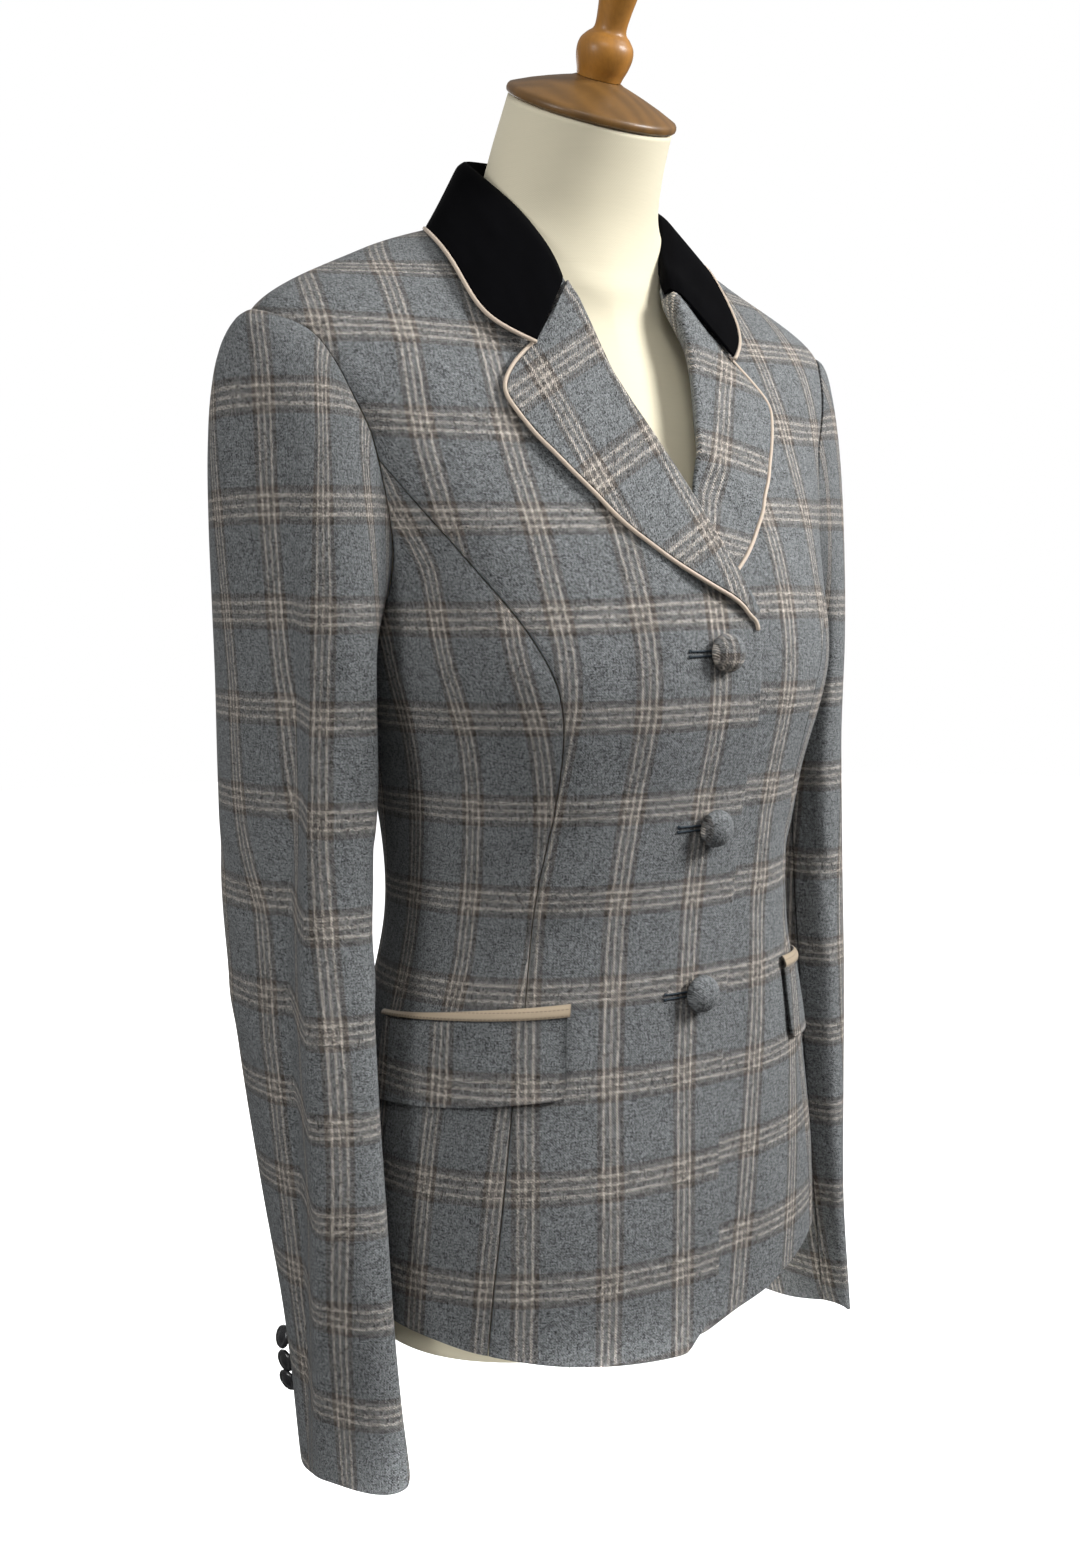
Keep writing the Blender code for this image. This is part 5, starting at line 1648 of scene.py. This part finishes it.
@known
def wood(name, tone):
    finish = Finish(name, Coat_Weight=0.25, Coat_Roughness=0.25, Specular_IOR_Level=0.4)
    x, y, z = finish.solid()
    bend = finish.noise(finish.point(x * 26, y * 26, z * 7), 3.0)
    rings = (x * 420 + y * 150 + bend * 12).sine() * 0.5 + 0.5
    pores = finish.noise(finish.point(x * 700, y * 700, z * 60), 3.0, 0.65)
    worn = finish.noise(finish.point(x * 55, y * 55, z * 55), 4.0, 0.6)
    colour = finish.shaded(tuple(tone), 0.48 + rings * 0.30 + pores * 0.45 + worn * 0.45)
    return finish.done(colour, 0.38 + pores * 0.2, finish.bump(pores + rings * 0.3, 0.00010, 0.3))


@known
def paint():
    finish = Finish("Stand paint", Specular_IOR_Level=0.5, Coat_Weight=0.2, Coat_Roughness=0.3)
    x, y, z = finish.solid()
    orange_peel = finish.noise(finish.point(x * 420, y * 420, z * 420), 2.0)
    dust = finish.noise(finish.point(x * 18, y * 18, z * 18), 4.0)
    colour = finish.shaded(tuple(colours().paint), 0.96 + (dust - 0.5) * 0.10)
    return finish.done(colour, 0.34 + dust * 0.16, finish.bump(orange_peel, 0.0002, 0.25))


def studio_floor():
    finish = Finish("Studio floor", Specular_IOR_Level=0.1)
    x, y = finish.solid()[:2]
    soft = finish.noise(finish.point(x * 6, y * 6), 3.0)
    reach = (x * x + y * y) ** 0.5
    # Painted light: the floor glows, dimmer within 0.17 m of the middle so that the stand's shadow still shows,
    # and full from 0.4 m out.
    glow = 0.5 + 0.5 * reach.smooth(0.17, 0.4)
    finish.join(finish.point(glow, glow, glow), finish.shader.inputs["Emission Color"])
    finish.shader.inputs["Emission Strength"].default_value = 1.0
    return finish.done(finish.shaded(tuple(colours().floor), 0.985 + soft * 0.03), 0.9)


# Studio


def aimed(obj, place, forward, level=0.0):
    """Puts a camera at a place and points it, turned a little about its own axis."""
    forward = Vector(forward).normalized()
    right = forward.cross(Vector((0, 0, 1))).normalized()
    up = right.cross(forward)
    across = right * math.cos(level) + up * math.sin(level)
    upward = up * math.cos(level) - right * math.sin(level)
    matrix = obj.matrix_world.to_3x3()
    matrix.col[0], matrix.col[1], matrix.col[2] = across, upward, -forward
    obj.matrix_world = matrix.to_4x4()
    obj.location = place


def lamp(name, place, target, width, power_of, spread=180):
    data = bpy.data.lights.new(name, "AREA")
    data.shape, data.size, data.energy, data.spread = "SQUARE", width, power_of, math.radians(spread)
    obj = bpy.data.objects.new(name, data)
    bpy.context.scene.collection.objects.link(obj)
    aimed(obj, Vector(place), Vector(target) - Vector(place))


def stage():
    mesh = bpy.data.meshes.new("floor")
    count, reach = 96, 6.0
    turns = [2 * math.pi * i / count for i in range(count)]
    ring = [(reach * math.cos(turn), reach * math.sin(turn), 0.0) for turn in turns]
    mesh.from_pydata(ring, [], [list(range(count))])
    floor = placed("floor", mesh)
    floor.data.materials.append(studio_floor())
    floor.visible_diffuse = floor.visible_glossy = False
    world = bpy.data.worlds.new("studio")
    bpy.context.scene.world = world
    bpy.context.scene.view_settings.view_transform = "Standard"
    world.use_nodes = True
    tree = world.node_tree
    soft, output = tree.nodes["Background"], tree.nodes["World Output"]
    soft.inputs["Color"].default_value = (1, 1, 1, 1)
    around, height = tree.nodes.new("ShaderNodeTexCoord"), tree.nodes.new("ShaderNodeSeparateXYZ")
    brighter_above = tree.nodes.new("ShaderNodeMapRange")
    for socket, value in (("From Min", -1.0), ("From Max", 1.0), ("To Min", 0.06), ("To Max", 0.38)):
        brighter_above.inputs[socket].default_value = value
    tree.links.new(around.outputs["Generated"], height.inputs[0])
    tree.links.new(height.outputs["Z"], brighter_above.inputs["Value"])
    tree.links.new(brighter_above.outputs[0], soft.inputs["Strength"])
    backdrop = tree.nodes.new("ShaderNodeBackground")
    backdrop.inputs["Color"].default_value = (1, 1, 1, 1)
    seen, either = tree.nodes.new("ShaderNodeLightPath"), tree.nodes.new("ShaderNodeMixShader")
    tree.links.new(seen.outputs["Is Camera Ray"], either.inputs[0])
    tree.links.new(soft.outputs[0], either.inputs[1])
    tree.links.new(backdrop.outputs[0], either.inputs[2])
    tree.links.new(either.outputs[0], output.inputs[0])
    lamp("key", (1.22, -1.31, 1.74), (0, 0, 0.64), 0.7, 10.0, 70)
    lamp("front", (-1.0, -1.7, 2.3), (0, 0, 0.85), 0.9, 11.5)
    lamp("fill", (-2.6, -0.6, 1.5), (-0.1, 0, 0.6), 0.9, 23)
    lamp("rim", (0.5, 2.8, 1.1), (0, 0, 0.6), 1.4, 15)
    lamp("low", (-0.40, -0.62, 0.10), (0, 0, 0.15), 0.12, 1.5, 26)
    data = bpy.data.cameras.new("camera")
    data.sensor_width, data.lens = 36.0, 39.67
    data.clip_start = 0.01
    camera = bpy.data.objects.new("camera", data)
    bpy.context.scene.collection.objects.link(camera)
    yaw, pitch = 0.6167 - 0.02493, 0.10798
    forward = (math.sin(yaw) * math.cos(pitch), math.cos(yaw) * math.cos(pitch), -math.sin(pitch))
    aimed(camera, Vector((-0.6127, -0.8643, 0.7445)), forward, -0.01256)
    bpy.context.scene.camera = camera


# Operators


def made(label, idname, description, work):
    """An operator that makes one group of pieces."""

    def execute(self, context):
        work()
        return {"FINISHED"}

    names = {"__doc__": description, "bl_idname": "coat." + idname, "bl_label": label}
    values = {**names, "bl_options": {"UNDO"}, "execute": execute}
    return type("COAT_OT_" + idname, (bpy.types.Operator,), values)


def both(*makers):
    """The work of making each piece for the right side and then for the left."""

    def work():
        for side in (-1, 1):
            for maker in makers:
                maker(side)

    return work


def trunk_pieces(kind):
    return both(lambda side: trunk_piece(kind, side))


def sleeve(side):
    sleeve_half(side, "sleeve_top", HIND_SEAM - 12, FRONT_SEAM, 44)
    sleeve_half(side, "sleeve_under", FRONT_SEAM, HIND_SEAM, 34)


def pipings():
    both(lapel_piping)()
    collar_piping()


def front_buttons():
    for index, level in enumerate(BUTTON_LEVELS):
        front_button(index + 1, level)
        buttonhole(index + 1, level)


def cuff_buttons():
    for side in (-1, 1):
        for index, height in enumerate(CUFF_BUTTON_HEIGHTS):
            cuff_button(side, index + 1, height)


OPERATORS = (
    made("Fronts", "fronts", "Cuts and drapes the two fronts", trunk_pieces("front")),
    made("Side panels", "sides", "Cuts and drapes the two side panels", trunk_pieces("side")),
    made("Backs", "backs", "Cuts and drapes the two backs", trunk_pieces("back")),
    made("Sleeves", "sleeves", "Hangs the two sleeves", both(sleeve)),
    made("Lapels", "lapels", "Folds the two lapels", both(lapel)),
    made("Collar", "collar", "Folds the velvet collar", collar),
    made("Piping", "piping", "Pipes the edges of the lapels and the collar", pipings),
    made("Pockets", "pockets", "Sets the flaps and their satin strips", both(flap, jet)),
    made("Front buttons", "front_buttons", "Covers the front buttons and works their holes", front_buttons),
    made("Cuff buttons", "cuff_buttons", "Turns the cuff buttons", cuff_buttons),
    made("Dress form", "dress_form", "Covers the dress form", dress_form),
    made("Neck cap and finial", "neck_pieces", "Turns the neck cap and the finial", neck_pieces),
    made("Stand", "stand", "Turns the post and the foot", stand),
    made("Studio", "studio", "Lays the floor, the lights and the camera", stage),
)


class COAT_PT_panel(bpy.types.Panel):
    """The coat's sizes, colours and pieces."""

    bl_idname = "COAT_PT_panel"
    bl_label = "Show Coat"
    bl_space_type = "VIEW_3D"
    bl_region_type = "UI"
    bl_category = "Show Coat"

    def draw(self, context):
        for group, kind in ((context.scene.coat_sizes, CoatSizes), (context.scene.coat_colours, CoatColours)):
            box = self.layout.box()
            for name in kind.__annotations__:
                box.prop(group, name)
        for operator in OPERATORS:
            self.layout.operator(operator.bl_idname)


CLASSES = (CoatSizes, CoatColours, *OPERATORS, COAT_PT_panel)


def register():
    for kind in CLASSES:
        bpy.utils.register_class(kind)
    bpy.types.Scene.coat_sizes = PointerProperty(type=CoatSizes)
    bpy.types.Scene.coat_colours = PointerProperty(type=CoatColours)


def unregister():
    del bpy.types.Scene.coat_colours
    del bpy.types.Scene.coat_sizes
    for kind in reversed(CLASSES):
        bpy.utils.unregister_class(kind)


def main():
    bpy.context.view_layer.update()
    register()
    for operator in OPERATORS:
        getattr(bpy.ops.coat, operator.bl_idname.split(".")[1])()


if __name__ == "__main__":
    main()
